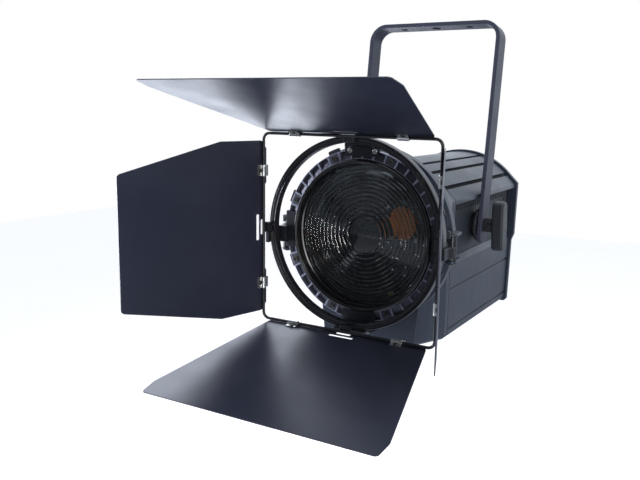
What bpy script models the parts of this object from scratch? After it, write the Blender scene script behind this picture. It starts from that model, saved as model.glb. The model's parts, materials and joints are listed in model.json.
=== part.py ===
"""LED fresnel spotlight hung by a yoke, with a rotating four-leaf barn door.

Run it with: blender --background --python part.py
Units are metres and +Z is up. The world origin is the hanging hole in the yoke's top bar.
The lamp shines towards -Y. Everything on the housing is placed in the door frame, whose
origin is the centre of the barn-door ring's front face. The lens sits slightly lower.
"""
import math

import bmesh
import bpy
from mathutils import Matrix, Vector

# ---------------------------------------------------------------- driving dimensions
GAP = 0.0004                    # clearance between neighbouring pieces
SHEET = 0.0012                  # barn-door leaf sheet

# Yoke: flat bar bent to a U, leaning back from the pivot
YOKE_LEAN = math.radians(8.0)
YOKE_HALF_WIDTH = 0.1046        # to the outer faces of the arms
YOKE_THICKNESS = 0.006
YOKE_BAR = 0.030                # bar width
YOKE_LENGTH = 0.297             # pivot to the top bar's outer face
YOKE_CORNER = 0.026             # outer bend radius
YOKE_FOOT = 0.026               # arm length below the pivot
HANG_HOLE_R = 0.0065
SIDE_HOLE_R = 0.0050
SIDE_HOLE_X = 0.053
PIVOT_Y = 0.222                 # pivot, from the door's centre
PIVOT_Z = -0.006
STUD_R = 0.005
STUD_END = 0.1165                # half the distance between the studs' outer ends

# Accessory ring and the barn door's wire frame
RING_R = 0.127
RING_INNER_R = 0.118
RING_DEPTH = 0.011
WIRE_R = 0.0020
WIRE_HALF = 0.127               # half the side of the square wire frame
WIRE_CORNER = 0.009
WIRE_Y = -0.0138

# Leaves: lengths run from the wire, widths are half widths
LEAF_REST = {"top": 16.0, "bottom": 11.5, "left": 14.5, "right": 21.0}
SIDE_TURN = {"top": 0.0, "right": 90.0, "bottom": 180.0, "left": -90.0}
LARGE_LEAF = {"length": 0.215, "hinge_half": 0.117, "knee": 0.190, "knee_half": 0.158, "end_half": 0.156}
SMALL_LEAF = {"length": 0.218, "hinge_half": 0.117, "knee": 0.070, "knee_half": 0.117, "end_half": 0.083}
EAR_FROM = 0.057
EAR_TO = 0.110
EAR_LENGTH = 0.007
SLOT_HALF = 0.0177
SLOT_NEAR = 0.006
SLOT_FAR = 0.0105
CLIP_OFFSET = 0.077
CLIP_WIDTH = 0.015

# Optics, from the front: retainer, bezel, lens, gasket, front casting
LENS_DROP = 0.006               # lens axis below the barn door's axis
FLANGE_Y = 0.036                # front face of the front casting
BEZEL_FRONT_Y = 0.027
BEZEL_R = 0.1150
BEZEL_INNER_R = 0.1020
CELL_COUNT = 40
LUG_COUNT = 8
LUG_R = 0.1210
RETAINER_R = 0.1012
RETAINER_INNER_R = 0.0960
LENS_R = 0.0990
LENS_THICKNESS = 0.006
LENS_STEPS = 4
BORE_R = 0.0940

# Housing cross-section: arched roof, shoulder, recessed side, lower box
ARCH_R = 0.114
ARCH_CENTRE_Z = -0.024
ARCH_HALF_ANGLE = math.radians(48.0)
SHOULDER_X = 0.097
SHOULDER_Z = 0.040
RIDGE_Z = 0.034
RECESS_X = 0.088
LEDGE_TOP_Z = -0.041
LEDGE_Z = -0.050
BASE_X = 0.093
BASE_Z = -0.154
WALL = 0.004
PANEL_THICKNESS = 0.003
GROOVE_WIDTH = 0.0032
GROOVE_DEPTH = 0.0022
ROOF_GROOVE_WIDTH = 0.006
ROOF_GROOVE_DEPTH = 0.0028
ROOF_GROOVES = (17.5, 30.0, 45.5)           # degrees from the top
SIDE_GROOVE_Z = (-0.084, -0.141)
VENT_COUNT = 14
VENT_PITCH = 0.0160

# Housing stations along the optical axis
DRUM_R = 0.1145
DRUM_RIM_R = 0.1198              # raised rim round the back of the drum
DRUM_RIM_Y = 0.0530
DRUM_WAIST_R = 0.106
DRUM_BACK_Y = 0.067
DRUM_WALL = 0.0045
BOX_FRONT_Y = 0.056
BOX_CHAMFER = 0.022
BOX_FLARE_Y = 0.096
SHELL_FRONT_Y = 0.118
SHELL_BACK_Y = 0.378
CAP_BACK_Y = 0.406
CAP_TAPER = 0.018
PANEL_Y = 0.382

# Barn-door holders
HOLDER_Z = -0.012
HOLDER_HALF = 0.022
HOOK_R = 0.1275
HOLDER_R = 0.1350
HOLDER_FOOT_R = 0.1225
HOLDER_BACK_Y = 0.050

# Zoom carriage
CARRIAGE_Y = 0.130
ROD_X = 0.070
ROD_Z = -0.062
SCREW_Z = -0.090
ROD_R = 0.004

# Paint and material looks: colour, metallic, roughness
COLOURS = {
    "slate_paint": ((0.105, 0.125, 0.150), 0.2, 0.42),
    "black_paint": ((0.018, 0.019, 0.026), 0.2, 0.40),
    "gloss_black": ((0.010, 0.010, 0.012), 0.1, 0.18),
    "black_plastic": ((0.030, 0.029, 0.030), 0.0, 0.50),
    "rubber": ((0.012, 0.012, 0.012), 0.0, 0.75),
    "steel": ((0.62, 0.62, 0.60), 1.0, 0.30),
    "aluminium": ((0.55, 0.56, 0.58), 1.0, 0.38),
    "glass": ((0.55, 0.60, 0.62), 0.0, 0.05),
    "brass": ((0.70, 0.52, 0.22), 1.0, 0.32),
    "led_yellow": ((0.85, 0.48, 0.06), 0.0, 0.45),
    "window": ((0.02, 0.05, 0.07), 0.0, 0.12),
    "button_grey": ((0.32, 0.33, 0.35), 0.0, 0.45),
}

PIVOT_TO_TOP = Vector((0.0, YOKE_LENGTH * math.sin(YOKE_LEAN), YOKE_LENGTH * math.cos(YOKE_LEAN)))
DOOR_CENTRE = -PIVOT_TO_TOP - Vector((0.0, PIVOT_Y, PIVOT_Z))


# ---------------------------------------------------------------- scene and helpers
def clear_scene():
    for obj in list(bpy.data.objects):
        bpy.data.objects.remove(obj, do_unlink=True)


def new_collection(name):
    collection = bpy.data.collections.new(name)
    bpy.context.scene.collection.children.link(collection)
    return collection


clear_scene()
PARTS = new_collection("fresnel_spotlight")
CUTTERS = new_collection("cutters")
CUTTERS.hide_render = True


def make_material(name, colour, metallic, roughness):
    material = bpy.data.materials.new(name)
    material.use_nodes = True
    shader = material.node_tree.nodes["Principled BSDF"]
    shader.inputs["Base Color"].default_value = (*colour, 1.0)
    shader.inputs["Metallic"].default_value = metallic
    shader.inputs["Roughness"].default_value = roughness
    material.diffuse_color = (*colour, 1.0)
    return material


def add_object(name, data, colour, parent=None, location=(0, 0, 0), rotation=(0, 0, 0)):
    """Put a mesh or curve in the parts collection with its own material."""
    obj = bpy.data.objects.new(name, data)
    obj.parent = parent
    obj.location = location
    obj.rotation_euler = rotation
    obj.data.materials.append(make_material(name + "_" + colour, *COLOURS[colour]))
    PARTS.objects.link(obj)
    return obj


def add_empty(name, parent, matrix):
    empty = bpy.data.objects.new(name, None)
    empty.empty_display_size = 0.02
    empty.parent = parent
    empty.matrix_local = matrix
    PARTS.objects.link(empty)
    return empty


def as_cutter(obj):
    """Move an object to the cutter collection, out of sight."""
    PARTS.objects.unlink(obj)
    CUTTERS.objects.link(obj)
    obj.hide_render = True
    obj.display_type = "WIRE"
    return obj


def boolean(obj, other, operation="DIFFERENCE"):
    modifier = obj.modifiers.new(operation.lower(), "BOOLEAN")
    modifier.operation = operation
    modifier.solver = "EXACT"
    modifier.object = other


def bevel(obj, width, segments=2, angle=40.0):
    modifier = obj.modifiers.new("bevel", "BEVEL")
    modifier.width = width
    modifier.segments = segments
    modifier.limit_method = "ANGLE"
    modifier.angle_limit = math.radians(angle)


def smooth(obj, angle=35.0):
    """Shade a mesh smooth, but keep edges sharper than the angle."""
    limit = math.radians(angle)
    mesh = bmesh.new()
    mesh.from_mesh(obj.data)
    for face in mesh.faces:
        face.smooth = True
    for edge in mesh.edges:
        edge.smooth = edge.calc_face_angle(0.0) < limit
    mesh.to_mesh(obj.data)
    mesh.free()


def mesh_from(name, build):
    """Run build(bm) on a new bmesh and return the finished mesh."""
    bm = bmesh.new()
    build(bm)
    bmesh.ops.recalc_face_normals(bm, faces=bm.faces)
    mesh = bpy.data.meshes.new(name)
    bm.to_mesh(mesh)
    bm.free()
    return mesh


def box_mesh(name, low, high):
    low = Vector(low)
    high = Vector(high)

    def build(bm):
        bmesh.ops.create_cube(bm, size=1.0)
        bmesh.ops.scale(bm, vec=high - low, verts=bm.verts)
        bmesh.ops.translate(bm, vec=(low + high) / 2, verts=bm.verts)
    return mesh_from(name, build)


def cylinder_mesh(name, radius, start, end, segments=24):
    """A cylinder between two points."""
    start = Vector(start)
    end = Vector(end)
    axis = end - start
    turn = Vector((0, 0, 1)).rotation_difference(axis).to_matrix().to_4x4()
    place = Matrix.Translation((start + end) / 2) @ turn

    def build(bm):
        bmesh.ops.create_cone(bm, cap_ends=True, segments=segments, radius1=radius,
                              radius2=radius, depth=axis.length, matrix=place)
    return mesh_from(name, build)


def turned(name, profile, colour, parent, location, axis="Y", segments=48, closed=True):
    """Turn a (radius, along) profile about an axis; the outer side runs from far to near."""
    def build(bm):
        verts = [bm.verts.new((radius, 0.0, along)) for radius, along in profile]
        for first, second in zip(verts, verts[1:]):
            bm.edges.new((first, second))
        if closed:
            bm.edges.new((verts[-1], verts[0]))
    mesh = bpy.data.meshes.new(name)
    bm = bmesh.new()
    build(bm)
    bm.to_mesh(mesh)
    bm.free()
    rotation = {"Y": (-math.pi / 2, 0, 0), "X": (0, math.pi / 2, 0)}[axis]
    obj = add_object(name, mesh, colour, parent, location, rotation)
    screw = obj.modifiers.new("turn", "SCREW")
    screw.axis = "Z"
    screw.steps = segments
    screw.render_steps = segments
    screw.use_merge_vertices = True
    screw.merge_threshold = 0.00001
    screw.use_smooth_shade = True
    return obj


def outline_curve(name, loops, thickness):
    """A flat 2D curve of one outline and its holes, extruded by half its thickness each way."""
    curve = bpy.data.curves.new(name, "CURVE")
    curve.dimensions = "2D"
    curve.fill_mode = "BOTH"
    curve.extrude = thickness / 2
    for loop in loops:
        spline = curve.splines.new("POLY")
        spline.points.add(len(loop) - 1)
        for point, (x, y) in zip(spline.points, loop):
            point.co = (x, y, 0.0, 1.0)
        spline.use_cyclic_u = True
    return curve


def plate(name, loops, thickness, colour, parent, matrix):
    """A flat outline with holes as a welded mesh, its mid-plane on the matrix's XY plane."""
    scratch = bpy.data.objects.new(name + "_curve", outline_curve(name, loops, thickness))
    PARTS.objects.link(scratch)
    evaluated = scratch.evaluated_get(bpy.context.evaluated_depsgraph_get())
    mesh = bpy.data.meshes.new_from_object(evaluated)
    bpy.data.objects.remove(scratch, do_unlink=True)
    bm = bmesh.new()
    bm.from_mesh(mesh)
    bmesh.ops.remove_doubles(bm, verts=bm.verts, dist=0.00001)
    bmesh.ops.dissolve_limit(bm, angle_limit=0.001, verts=bm.verts, edges=bm.edges)
    bmesh.ops.recalc_face_normals(bm, faces=bm.faces)
    bm.to_mesh(mesh)
    bm.free()
    mesh.materials.clear()
    mesh.name = name
    obj = add_object(name, mesh, colour, parent)
    obj.matrix_local = matrix
    return obj


def arc(centre, radius, start, end, count):
    """Points of an arc; angles in degrees, counter-clockwise from +x."""
    points = []
    for step in range(count + 1):
        angle = math.radians(start + (end - start) * step / count)
        points.append((centre[0] + radius * math.cos(angle), centre[1] + radius * math.sin(angle)))
    return points


def circle(centre, radius, count=20):
    return arc(centre, radius, 0.0, 360.0, count)[:-1]


def rectangle(low_x, low_y, high_x, high_y):
    return [(low_x, low_y), (high_x, low_y), (high_x, high_y), (low_x, high_y)]


def mirrored(half):
    """Close a right-hand half outline, given from the top down, with its mirror image."""
    left = [(-x, y) for x, y in reversed(half) if abs(x) > 1e-9]
    return half + left


# The cross-section plane: local x is world X, local y is world Z, local z is world -Y
SECTION = Matrix.Rotation(math.pi / 2, 4, "X")
# The side plane: local x is world Y, local y is world Z, local z is world X
SIDE = Matrix(((0, 0, 1, 0), (1, 0, 0, 0), (0, 1, 0, 0), (0, 0, 0, 1)))

HEAD = add_empty("door_centre", None, Matrix.Translation(DOOR_CENTRE))
OPTICS = add_empty("lens_axis", HEAD, Matrix.Translation((0, 0, -LENS_DROP)))


def section_plate(name, loops, front_y, back_y, colour, parent=HEAD):
    """A housing piece with a constant cross-section between two stations."""
    middle = Matrix.Translation((0, (front_y + back_y) / 2, 0))
    return plate(name, loops, back_y - front_y, colour, parent, middle @ SECTION)


# ---------------------------------------------------------------- housing cross-sections
def body_outline(grow=0.0, grow_base=None):
    """The housing's outer outline without its side recess, grown outwards by an offset."""
    base_z = BASE_Z - (grow if grow_base is None else grow_base)
    radius = ARCH_R + grow
    half_angle = math.degrees(ARCH_HALF_ANGLE)
    half = arc((0, ARCH_CENTRE_Z), radius, 90.0, 90.0 - half_angle, 8)
    half += [
        (SHOULDER_X + grow, SHOULDER_Z + grow / 2),
        (SHOULDER_X + grow, LEDGE_TOP_Z - grow / 2),
        (BASE_X + grow, LEDGE_Z - 0.004),
        (BASE_X + grow, base_z + 0.004),
        (BASE_X + grow - 0.004, base_z),
    ]
    return mirrored(half)


def roof_outline():
    """Arched roof with grooves, shoulders and ridges."""
    outer = []
    angle = 0.0
    half_groove = math.degrees(ROOF_GROOVE_WIDTH / 2 / ARCH_R)
    for groove in ROOF_GROOVES:
        outer += arc((0, ARCH_CENTRE_Z), ARCH_R, 90.0 - angle, 90.0 - groove + half_groove, 3)
        floor = ARCH_R - ROOF_GROOVE_DEPTH
        outer += arc((0, ARCH_CENTRE_Z), floor, 90.0 - groove + half_groove,
                     90.0 - groove - half_groove, 1)
        angle = groove + half_groove
    half_angle = math.degrees(ARCH_HALF_ANGLE)
    outer += arc((0, ARCH_CENTRE_Z), ARCH_R, 90.0 - angle, 90.0 - half_angle, 1)
    outer += [(SHOULDER_X, SHOULDER_Z), (SHOULDER_X, RIDGE_Z)]
    inner = arc((0, ARCH_CENTRE_Z), ARCH_R - WALL, 90.0 - half_angle, 90.0, 8)
    step = [(RECESS_X - PANEL_THICKNESS, RIDGE_Z), (RECESS_X - PANEL_THICKNESS, SHOULDER_Z)]
    right = outer[1:] + step + inner[:-1]
    left = [(-x, y) for x, y in reversed(right)]
    return right + [inner[-1]] + left + [outer[0]]


def tray_outline():
    """Lower tray: ledges, grooved sides and base."""
    groove = GROOVE_WIDTH / 2
    outer = [(RECESS_X, LEDGE_TOP_Z - GAP), (BASE_X, LEDGE_Z)]
    for level in SIDE_GROOVE_Z:
        outer += [(BASE_X, level + groove), (BASE_X - GROOVE_DEPTH, level + groove)]
        outer += [(BASE_X - GROOVE_DEPTH, level - groove), (BASE_X, level - groove)]
    outer += [(BASE_X, BASE_Z + 0.004), (BASE_X - 0.004, BASE_Z)]
    inner = [
        (BASE_X - WALL, BASE_Z + WALL),
        (BASE_X - WALL, LEDGE_Z - 0.002),
        (RECESS_X - WALL, LEDGE_TOP_Z - GAP),
    ]
    right = outer + [(-x, y) for x, y in reversed(outer)]
    return right + [(-x, y) for x, y in reversed(inner)] + inner


# ---------------------------------------------------------------- yoke, studs, knobs
def yoke_outline():
    """The U in the yoke's own plane: x across, y up from the pivot."""
    outer_x = YOKE_HALF_WIDTH
    inner_x = outer_x - YOKE_THICKNESS
    inner_r = YOKE_CORNER - YOKE_THICKNESS
    corner = (outer_x - YOKE_CORNER, YOKE_LENGTH - YOKE_CORNER)
    outer = arc(corner, YOKE_CORNER, 90.0, 0.0, 6) + [(outer_x, -YOKE_FOOT)]
    inner = [(inner_x, -YOKE_FOOT)] + arc(corner, inner_r, 0.0, 90.0, 6)
    right = outer + inner
    return right + [(-x, y) for x, y in reversed(right)]


def make_yoke():
    lean = Matrix.Rotation(-YOKE_LEAN, 4, "X")
    place = Matrix.Translation(-PIVOT_TO_TOP) @ lean
    yoke = plate("yoke_bracket", [yoke_outline()], YOKE_BAR, "slate_paint", None, place @ SECTION)
    holes = [(x, radius) for x, radius in
             ((-SIDE_HOLE_X, SIDE_HOLE_R), (0.0, HANG_HOLE_R), (SIDE_HOLE_X, SIDE_HOLE_R))]
    yoke_frame = add_empty("yoke_frame", None, place)
    for index, (x, radius) in enumerate(holes):
        mesh = cylinder_mesh("hole", radius, (x, 0, YOKE_LENGTH - 0.02), (x, 0, YOKE_LENGTH + 0.02))
        boolean(yoke, as_cutter(add_object("top_hole_%d" % index, mesh, "steel", yoke_frame)))
    reach = YOKE_HALF_WIDTH + 0.02
    mesh = cylinder_mesh("bore", STUD_R + GAP, (-reach, 0, 0), (reach, 0, 0))
    boolean(yoke, as_cutter(add_object("pivot_bore", mesh, "steel", yoke_frame)))


def make_pivot(side, sign):
    """Stud, friction disc and paddle knob on one side of the housing."""
    inner_face = YOKE_HALF_WIDTH - YOKE_THICKNESS
    seat = RECESS_X - PANEL_THICKNESS - GAP
    stud_profile = [
        (0.0, STUD_END), (STUD_R, STUD_END), (STUD_R, seat), (0.009, seat), (0.009, 0.078),
        (0.0, 0.078),
    ]
    disc_profile = [
        (0.024, inner_face - GAP), (0.024, inner_face - 0.005), (0.018, inner_face - 0.006),
        (0.018, RECESS_X + GAP), (STUD_R + GAP, RECESS_X + GAP), (STUD_R + GAP, inner_face - GAP),
    ]
    mirror = Matrix.Rotation(0.0 if sign > 0 else math.pi, 4, "Z")
    place = Matrix.Translation((0, PIVOT_Y, PIVOT_Z)) @ mirror
    frame = add_empty("pivot_" + side, HEAD, place)
    turned("pivot_stud_" + side, stud_profile, "steel", frame, (0, 0, 0), "X", 20, False)
    turned("friction_disc_" + side, disc_profile, "rubber", frame, (0, 0, 0), "X", 32)
    make_knob("knob_" + side, frame)


def make_knob(name, frame):
    """Long paddle knob with a round hub that screws on the stud."""
    hub_start = YOKE_HALF_WIDTH + GAP
    paddle_start = 0.1180
    paddle_end = 0.1350
    mesh = box_mesh(name, (paddle_start, -0.0125, -0.0365), (paddle_end, 0.0125, 0.0365))
    knob = add_object(name, mesh, "black_plastic", frame, rotation=(math.radians(4.0), 0, 0))
    bevel(knob, 0.0045, 2)
    hub = cylinder_mesh("hub", 0.0100, (hub_start, 0, 0), (paddle_start + 0.006, 0, 0), 24)
    boolean(knob, as_cutter(add_object(name + "_hub", hub, "black_plastic", frame)), "UNION")
    bore = cylinder_mesh("bore", STUD_R + GAP, (hub_start - 0.01, 0, 0),
                         (STUD_END + 0.0007, 0, 0), 20)
    boolean(knob, as_cutter(add_object(name + "_bore", bore, "black_plastic", frame)))


# ---------------------------------------------------------------- housing
def lofted(name, stations):
    """A closed solid through outlines of equal point count, given as (y, outline) pairs."""
    def build(bm):
        loops = [[bm.verts.new((x, y, z)) for x, z in outline] for y, outline in stations]
        bm.faces.new(loops[0])
        bm.faces.new(loops[-1])
        for near, far in zip(loops, loops[1:]):
            count = len(near)
            for index in range(count):
                after = (index + 1) % count
                bm.faces.new((near[index], near[after], far[after], far[index]))
    return mesh_from(name, build)


def make_front_casting():
    """Round drum that narrows into the box section, hollow behind the lens seat."""
    seat_back = FLANGE_Y + LENS_THICKNESS + 3 * GAP + 0.0025
    end = SHELL_FRONT_Y - 0.001
    end_r = DRUM_WAIST_R - 0.020
    rim_back = DRUM_BACK_Y - 0.003
    hollow_r = DRUM_RIM_R - DRUM_WALL
    profile = [
        (end_r, end), (DRUM_WAIST_R, DRUM_BACK_Y), (DRUM_RIM_R, rim_back),
        (DRUM_RIM_R, DRUM_RIM_Y), (DRUM_R, DRUM_RIM_Y - 0.0015),
        (DRUM_R, FLANGE_Y + 0.001), (DRUM_R - 0.001, FLANGE_Y),
        (LENS_R + GAP, FLANGE_Y), (LENS_R + GAP, seat_back), (BORE_R, seat_back),
        (BORE_R, seat_back + WALL), (hollow_r, DRUM_RIM_Y + 0.002), (hollow_r, rim_back - 0.002),
        (DRUM_WAIST_R - DRUM_WALL, DRUM_BACK_Y), (end_r - DRUM_WALL, end),
    ]
    casting = turned("front_casting", profile, "slate_paint", OPTICS, (0, 0, 0))
    box = lofted("box", [
        (BOX_FRONT_Y, body_outline(-BOX_CHAMFER, -BOX_CHAMFER / 3)),
        (BOX_FLARE_Y, body_outline()), (SHELL_FRONT_Y, body_outline()),
    ])
    boolean(casting, as_cutter(add_object("casting_box", box, "slate_paint", HEAD)), "UNION")
    inside = body_outline(-WALL)
    cavity = lofted("cavity", [
        (BOX_FRONT_Y + WALL, body_outline(-BOX_CHAMFER - WALL, -BOX_CHAMFER / 3 - WALL)),
        (BOX_FLARE_Y + WALL, inside), (SHELL_FRONT_Y + 0.01, inside),
    ])
    boolean(casting, as_cutter(add_object("casting_cavity", cavity, "slate_paint", HEAD)))
    bore = cylinder_mesh("bore", BORE_R, (0, seat_back + 0.001, 0), (0, DRUM_BACK_Y + 0.01, 0), 48)
    boolean(casting, as_cutter(add_object("casting_bore", bore, "slate_paint", OPTICS)))


def make_rear_cap():
    """Hooded frame around the rear panel, deeper at the top than at the base."""
    rim = body_outline(0.0035)
    outer = lofted("rear_cap", [(SHELL_BACK_Y, rim), (CAP_BACK_Y, rim)])
    height = ARCH_R + ARCH_CENTRE_Z - BASE_Z
    for vert in outer.vertices:
        if vert.co.y > SHELL_BACK_Y + 0.001:
            vert.co.y -= CAP_TAPER * (ARCH_R + ARCH_CENTRE_Z - vert.co.z) / height
    cap = add_object("rear_cap", outer, "slate_paint", HEAD)
    inside = body_outline(-0.0055)
    inner = lofted("opening", [(SHELL_BACK_Y - 0.01, inside), (CAP_BACK_Y + 0.01, inside)])
    boolean(cap, as_cutter(add_object("cap_opening", inner, "slate_paint", HEAD)))


def side_panel_loops():
    """Recessed side panel in the side plane: vent teeth, three small holes, stud hole."""
    front = SHELL_FRONT_Y + GAP
    back = SHELL_BACK_Y - GAP
    loops = [rectangle(front, LEDGE_TOP_Z, back, RIDGE_Z - GAP)]
    for index in range(VENT_COUNT):
        start = front + 0.012 + index * VENT_PITCH
        loops.append(rectangle(start, RIDGE_Z - 0.013, start + VENT_PITCH / 2, RIDGE_Z - 0.003))
    for level in (0.018, 0.005, -0.008):
        loops.append(circle((back - 0.014, level), 0.0025, 10))
    loops.append(circle((PIVOT_Y, PIVOT_Z), STUD_R + GAP, 20))
    return loops


def make_shells():
    front = SHELL_FRONT_Y + GAP
    back = SHELL_BACK_Y - GAP
    section_plate("upper_shell", [roof_outline()], front, back, "slate_paint")
    section_plate("lower_shell", [tray_outline()], front, back, "slate_paint")
    for side, sign in (("left", -1), ("right", 1)):
        place = Matrix.Translation((sign * (RECESS_X - PANEL_THICKNESS / 2), 0, 0)) @ SIDE
        plate("side_panel_" + side, side_panel_loops(), PANEL_THICKNESS - GAP, "slate_paint", HEAD, place)


# ---------------------------------------------------------------- optics
def lug_outline():
    """Bezel outline with a square lug at each screw."""
    points = []
    half_lug = 4.6
    step = 360.0 / LUG_COUNT
    for index in range(LUG_COUNT):
        middle = step * (index + 0.5)
        points += arc((0, 0), BEZEL_R, middle - step + half_lug, middle - half_lug, 6)
        points += arc((0, 0), LUG_R, middle - half_lug + 0.4, middle + half_lug - 0.4, 2)
    return points


def make_bezel():
    """Finned bezel: a ring of open cells with a solid pad at each screw."""
    pitch = 360.0 / CELL_COUNT
    screw_every = CELL_COUNT // LUG_COUNT
    loops = [lug_outline(), circle((0, 0), BEZEL_INNER_R, 48)]
    for index in range(CELL_COUNT):
        if index % screw_every == screw_every // 2:
            continue
        near = index * pitch + 1.0
        far = near + pitch - 2.0
        inner = arc((0, 0), BEZEL_INNER_R + 0.0015, near, far, 1)
        outer = arc((0, 0), BEZEL_R - 0.0022, far, near, 1)
        loops.append(inner + outer)
    section_plate("bezel_ring", loops, BEZEL_FRONT_Y, FLANGE_Y - GAP, "black_paint", OPTICS)


def lens_profile():
    """Flat back, and a front face of concentric steps around a domed centre."""
    back = FLANGE_Y + GAP + LENS_THICKNESS
    front = FLANGE_Y + GAP
    profile = [(0.0, back), (LENS_R, back), (LENS_R, front)]
    pitch = (LENS_R - 0.005) / LENS_STEPS
    for step in range(LENS_STEPS):
        outer = LENS_R - 0.004 - step * pitch
        profile.append((outer, front + 0.0020))
        profile.append((outer - pitch * 0.93, front + 0.0002))
    profile.append((0.0, front))
    return profile


def make_optics():
    back = FLANGE_Y - GAP
    retainer = [
        (RETAINER_R, back), (RETAINER_R, 0.0235), (RETAINER_R - 0.0015, 0.0215),
        (RETAINER_INNER_R + 0.0015, 0.0215), (RETAINER_INNER_R, 0.0240), (RETAINER_INNER_R, back),
    ]
    turned("lens_retainer", retainer, "gloss_black", OPTICS, (0, 0, 0))
    turned("fresnel_lens", lens_profile(), "glass", OPTICS, (0, 0, 0), closed=False)
    start = FLANGE_Y + 2 * GAP + LENS_THICKNESS
    end = start + 0.0025
    gasket = [(LENS_R, end), (LENS_R, start), (BORE_R + 0.0005, start), (BORE_R + 0.0005, end)]
    turned("lens_gasket", gasket, "rubber", OPTICS, (0, 0, 0), segments=40)


# ---------------------------------------------------------------- barn-door holders
def holder_outline():
    """Holder cross-section: x is the distance from the door's axis, y is the station."""
    back = RING_DEPTH + GAP
    foot = HOLDER_FOOT_R
    return [
        (foot, HOLDER_BACK_Y), (foot, back), (HOOK_R, back), (HOOK_R, -GAP),
        (RING_R - 0.0015, -GAP), (RING_R - 0.0015, -0.0034), (HOOK_R + 0.0035, -0.0034),
        (HOOK_R + 0.0035, 0.0150), (HOLDER_R, 0.0200), (HOLDER_R, HOLDER_BACK_Y),
    ]


def make_holders():
    """Fixed holders at the left, right and bottom of the drum."""
    settings = {"left": (180.0, HOLDER_Z), "right": (0.0, HOLDER_Z), "bottom": (-90.0, 0.0)}
    # local x is outwards, local y is the station along world Y, local z is tangential
    for side, (angle, shift) in settings.items():
        turn = Matrix.Rotation(-math.radians(angle), 4, "Y")
        frame = Matrix.Translation((0, 0, shift)) @ turn
        plate("holder_" + side, [holder_outline()], 2 * HOLDER_HALF, "black_paint", HEAD, frame)


def make_top_latch():
    """Screwed base plate on the bezel, and the sliding latch that closes over the ring."""
    base = [(-0.026, 0.1165), (-0.022, 0.0990), (0.022, 0.0990), (0.026, 0.1165)]
    front = BEZEL_FRONT_Y - GAP - 0.004
    section_plate("holder_top", [base], front, BEZEL_FRONT_Y - GAP, "black_paint")
    face = RING_DEPTH + GAP
    plate_back = front - GAP
    hook = [
        (0.1030, plate_back), (0.1030, face), (HOOK_R + 0.0003, face), (HOOK_R + 0.0003, -GAP),
        (RING_R - 0.0015, -GAP), (RING_R - 0.0015, -0.0034), (HOOK_R + 0.0045, -0.0034),
        (HOOK_R + 0.0045, plate_back),
    ]
    turn = Matrix.Rotation(-math.pi / 2, 4, "Y")
    plate("top_latch", [hook], 0.026, "steel", HEAD, turn)


# ---------------------------------------------------------------- barn door
def make_accessory_ring():
    profile = [
        (RING_R, RING_DEPTH), (RING_R, 0.0020), (RING_R - 0.0012, 0.0), (RING_R - 0.0034, 0.0),
        (RING_R - 0.0045, 0.0016), (RING_R - 0.0056, 0.0002), (RING_INNER_R + 0.0012, 0.0002),
        (RING_INNER_R, 0.0018), (RING_INNER_R, RING_DEPTH),
    ]
    ring = turned("accessory_ring", profile, "black_paint", HEAD, (0, 0, 0))
    tab_end = WIRE_Y + WIRE_R + GAP
    # an L tab at the middle of each side: a post on the ring and a foot behind the wire
    tab = [
        (0.1195, 0.0030), (0.1195, tab_end), (0.1285, tab_end), (0.1285, tab_end + 0.0025),
        (0.1245, tab_end + 0.0025), (0.1245, 0.0030),
    ]
    for side, angle in SIDE_TURN.items():
        turn = Matrix.Rotation(math.radians(angle - 90.0), 4, "Y")
        piece = plate("tab_" + side, [tab], 0.014, "black_paint", HEAD, turn)
        boolean(ring, as_cutter(piece), "UNION")


def make_wire_frame():
    """Square frame of round wire with bent corners, one closed tube."""
    inner = WIRE_HALF - WIRE_CORNER
    points = []
    for index, (sx, sz) in enumerate(((1, 1), (-1, 1), (-1, -1), (1, -1))):
        points += arc((sx * inner, sz * inner), WIRE_CORNER, 90.0 * index, 90.0 * (index + 1), 4)
    curve = bpy.data.curves.new("door_frame", "CURVE")
    curve.dimensions = "3D"
    curve.bevel_depth = WIRE_R
    curve.bevel_resolution = 2
    spline = curve.splines.new("POLY")
    spline.points.add(len(points) - 1)
    for point, (x, z) in zip(spline.points, points):
        point.co = (x, WIRE_Y, z, 1.0)
    spline.use_cyclic_u = True
    add_object("door_frame", curve, "black_paint", HEAD)


def leaf_loops(leaf):
    """Leaf sheet: x along the wire, y away from it; two ears reach past the wire."""
    start = 0.0015
    half = [
        (EAR_FROM, start), (EAR_FROM + 0.003, -EAR_LENGTH), (EAR_TO - 0.003, -EAR_LENGTH),
        (EAR_TO, start), (leaf["hinge_half"], start + 0.004), (leaf["knee_half"], leaf["knee"]),
        (leaf["end_half"], leaf["length"] - 0.003), (leaf["end_half"] - 0.003, leaf["length"]),
    ]
    left = [(-x, y) for x, y in reversed(half)]
    return [half + left, rectangle(-SLOT_HALF, SLOT_NEAR, SLOT_HALF, SLOT_FAR)]


def clip_outline():
    """Saddle bent over the wire: x away from the wire, y inwards from the wire's axis."""
    clear = WIRE_R + GAP
    thick = 0.0012
    low = -WIRE_R
    outer_r = clear + thick
    top = low + thick
    reach = 0.0085
    meet = math.degrees(math.asin(top / outer_r))
    outer = [(-reach, top)] + arc((0, 0), outer_r, 180.0 - meet, meet, 8) + [(reach, top)]
    inner = [(reach, low), (clear, low)] + arc((0, 0), clear, 0.0, 180.0, 8)
    return outer + inner + [(-clear, low), (-reach, low)]


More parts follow.
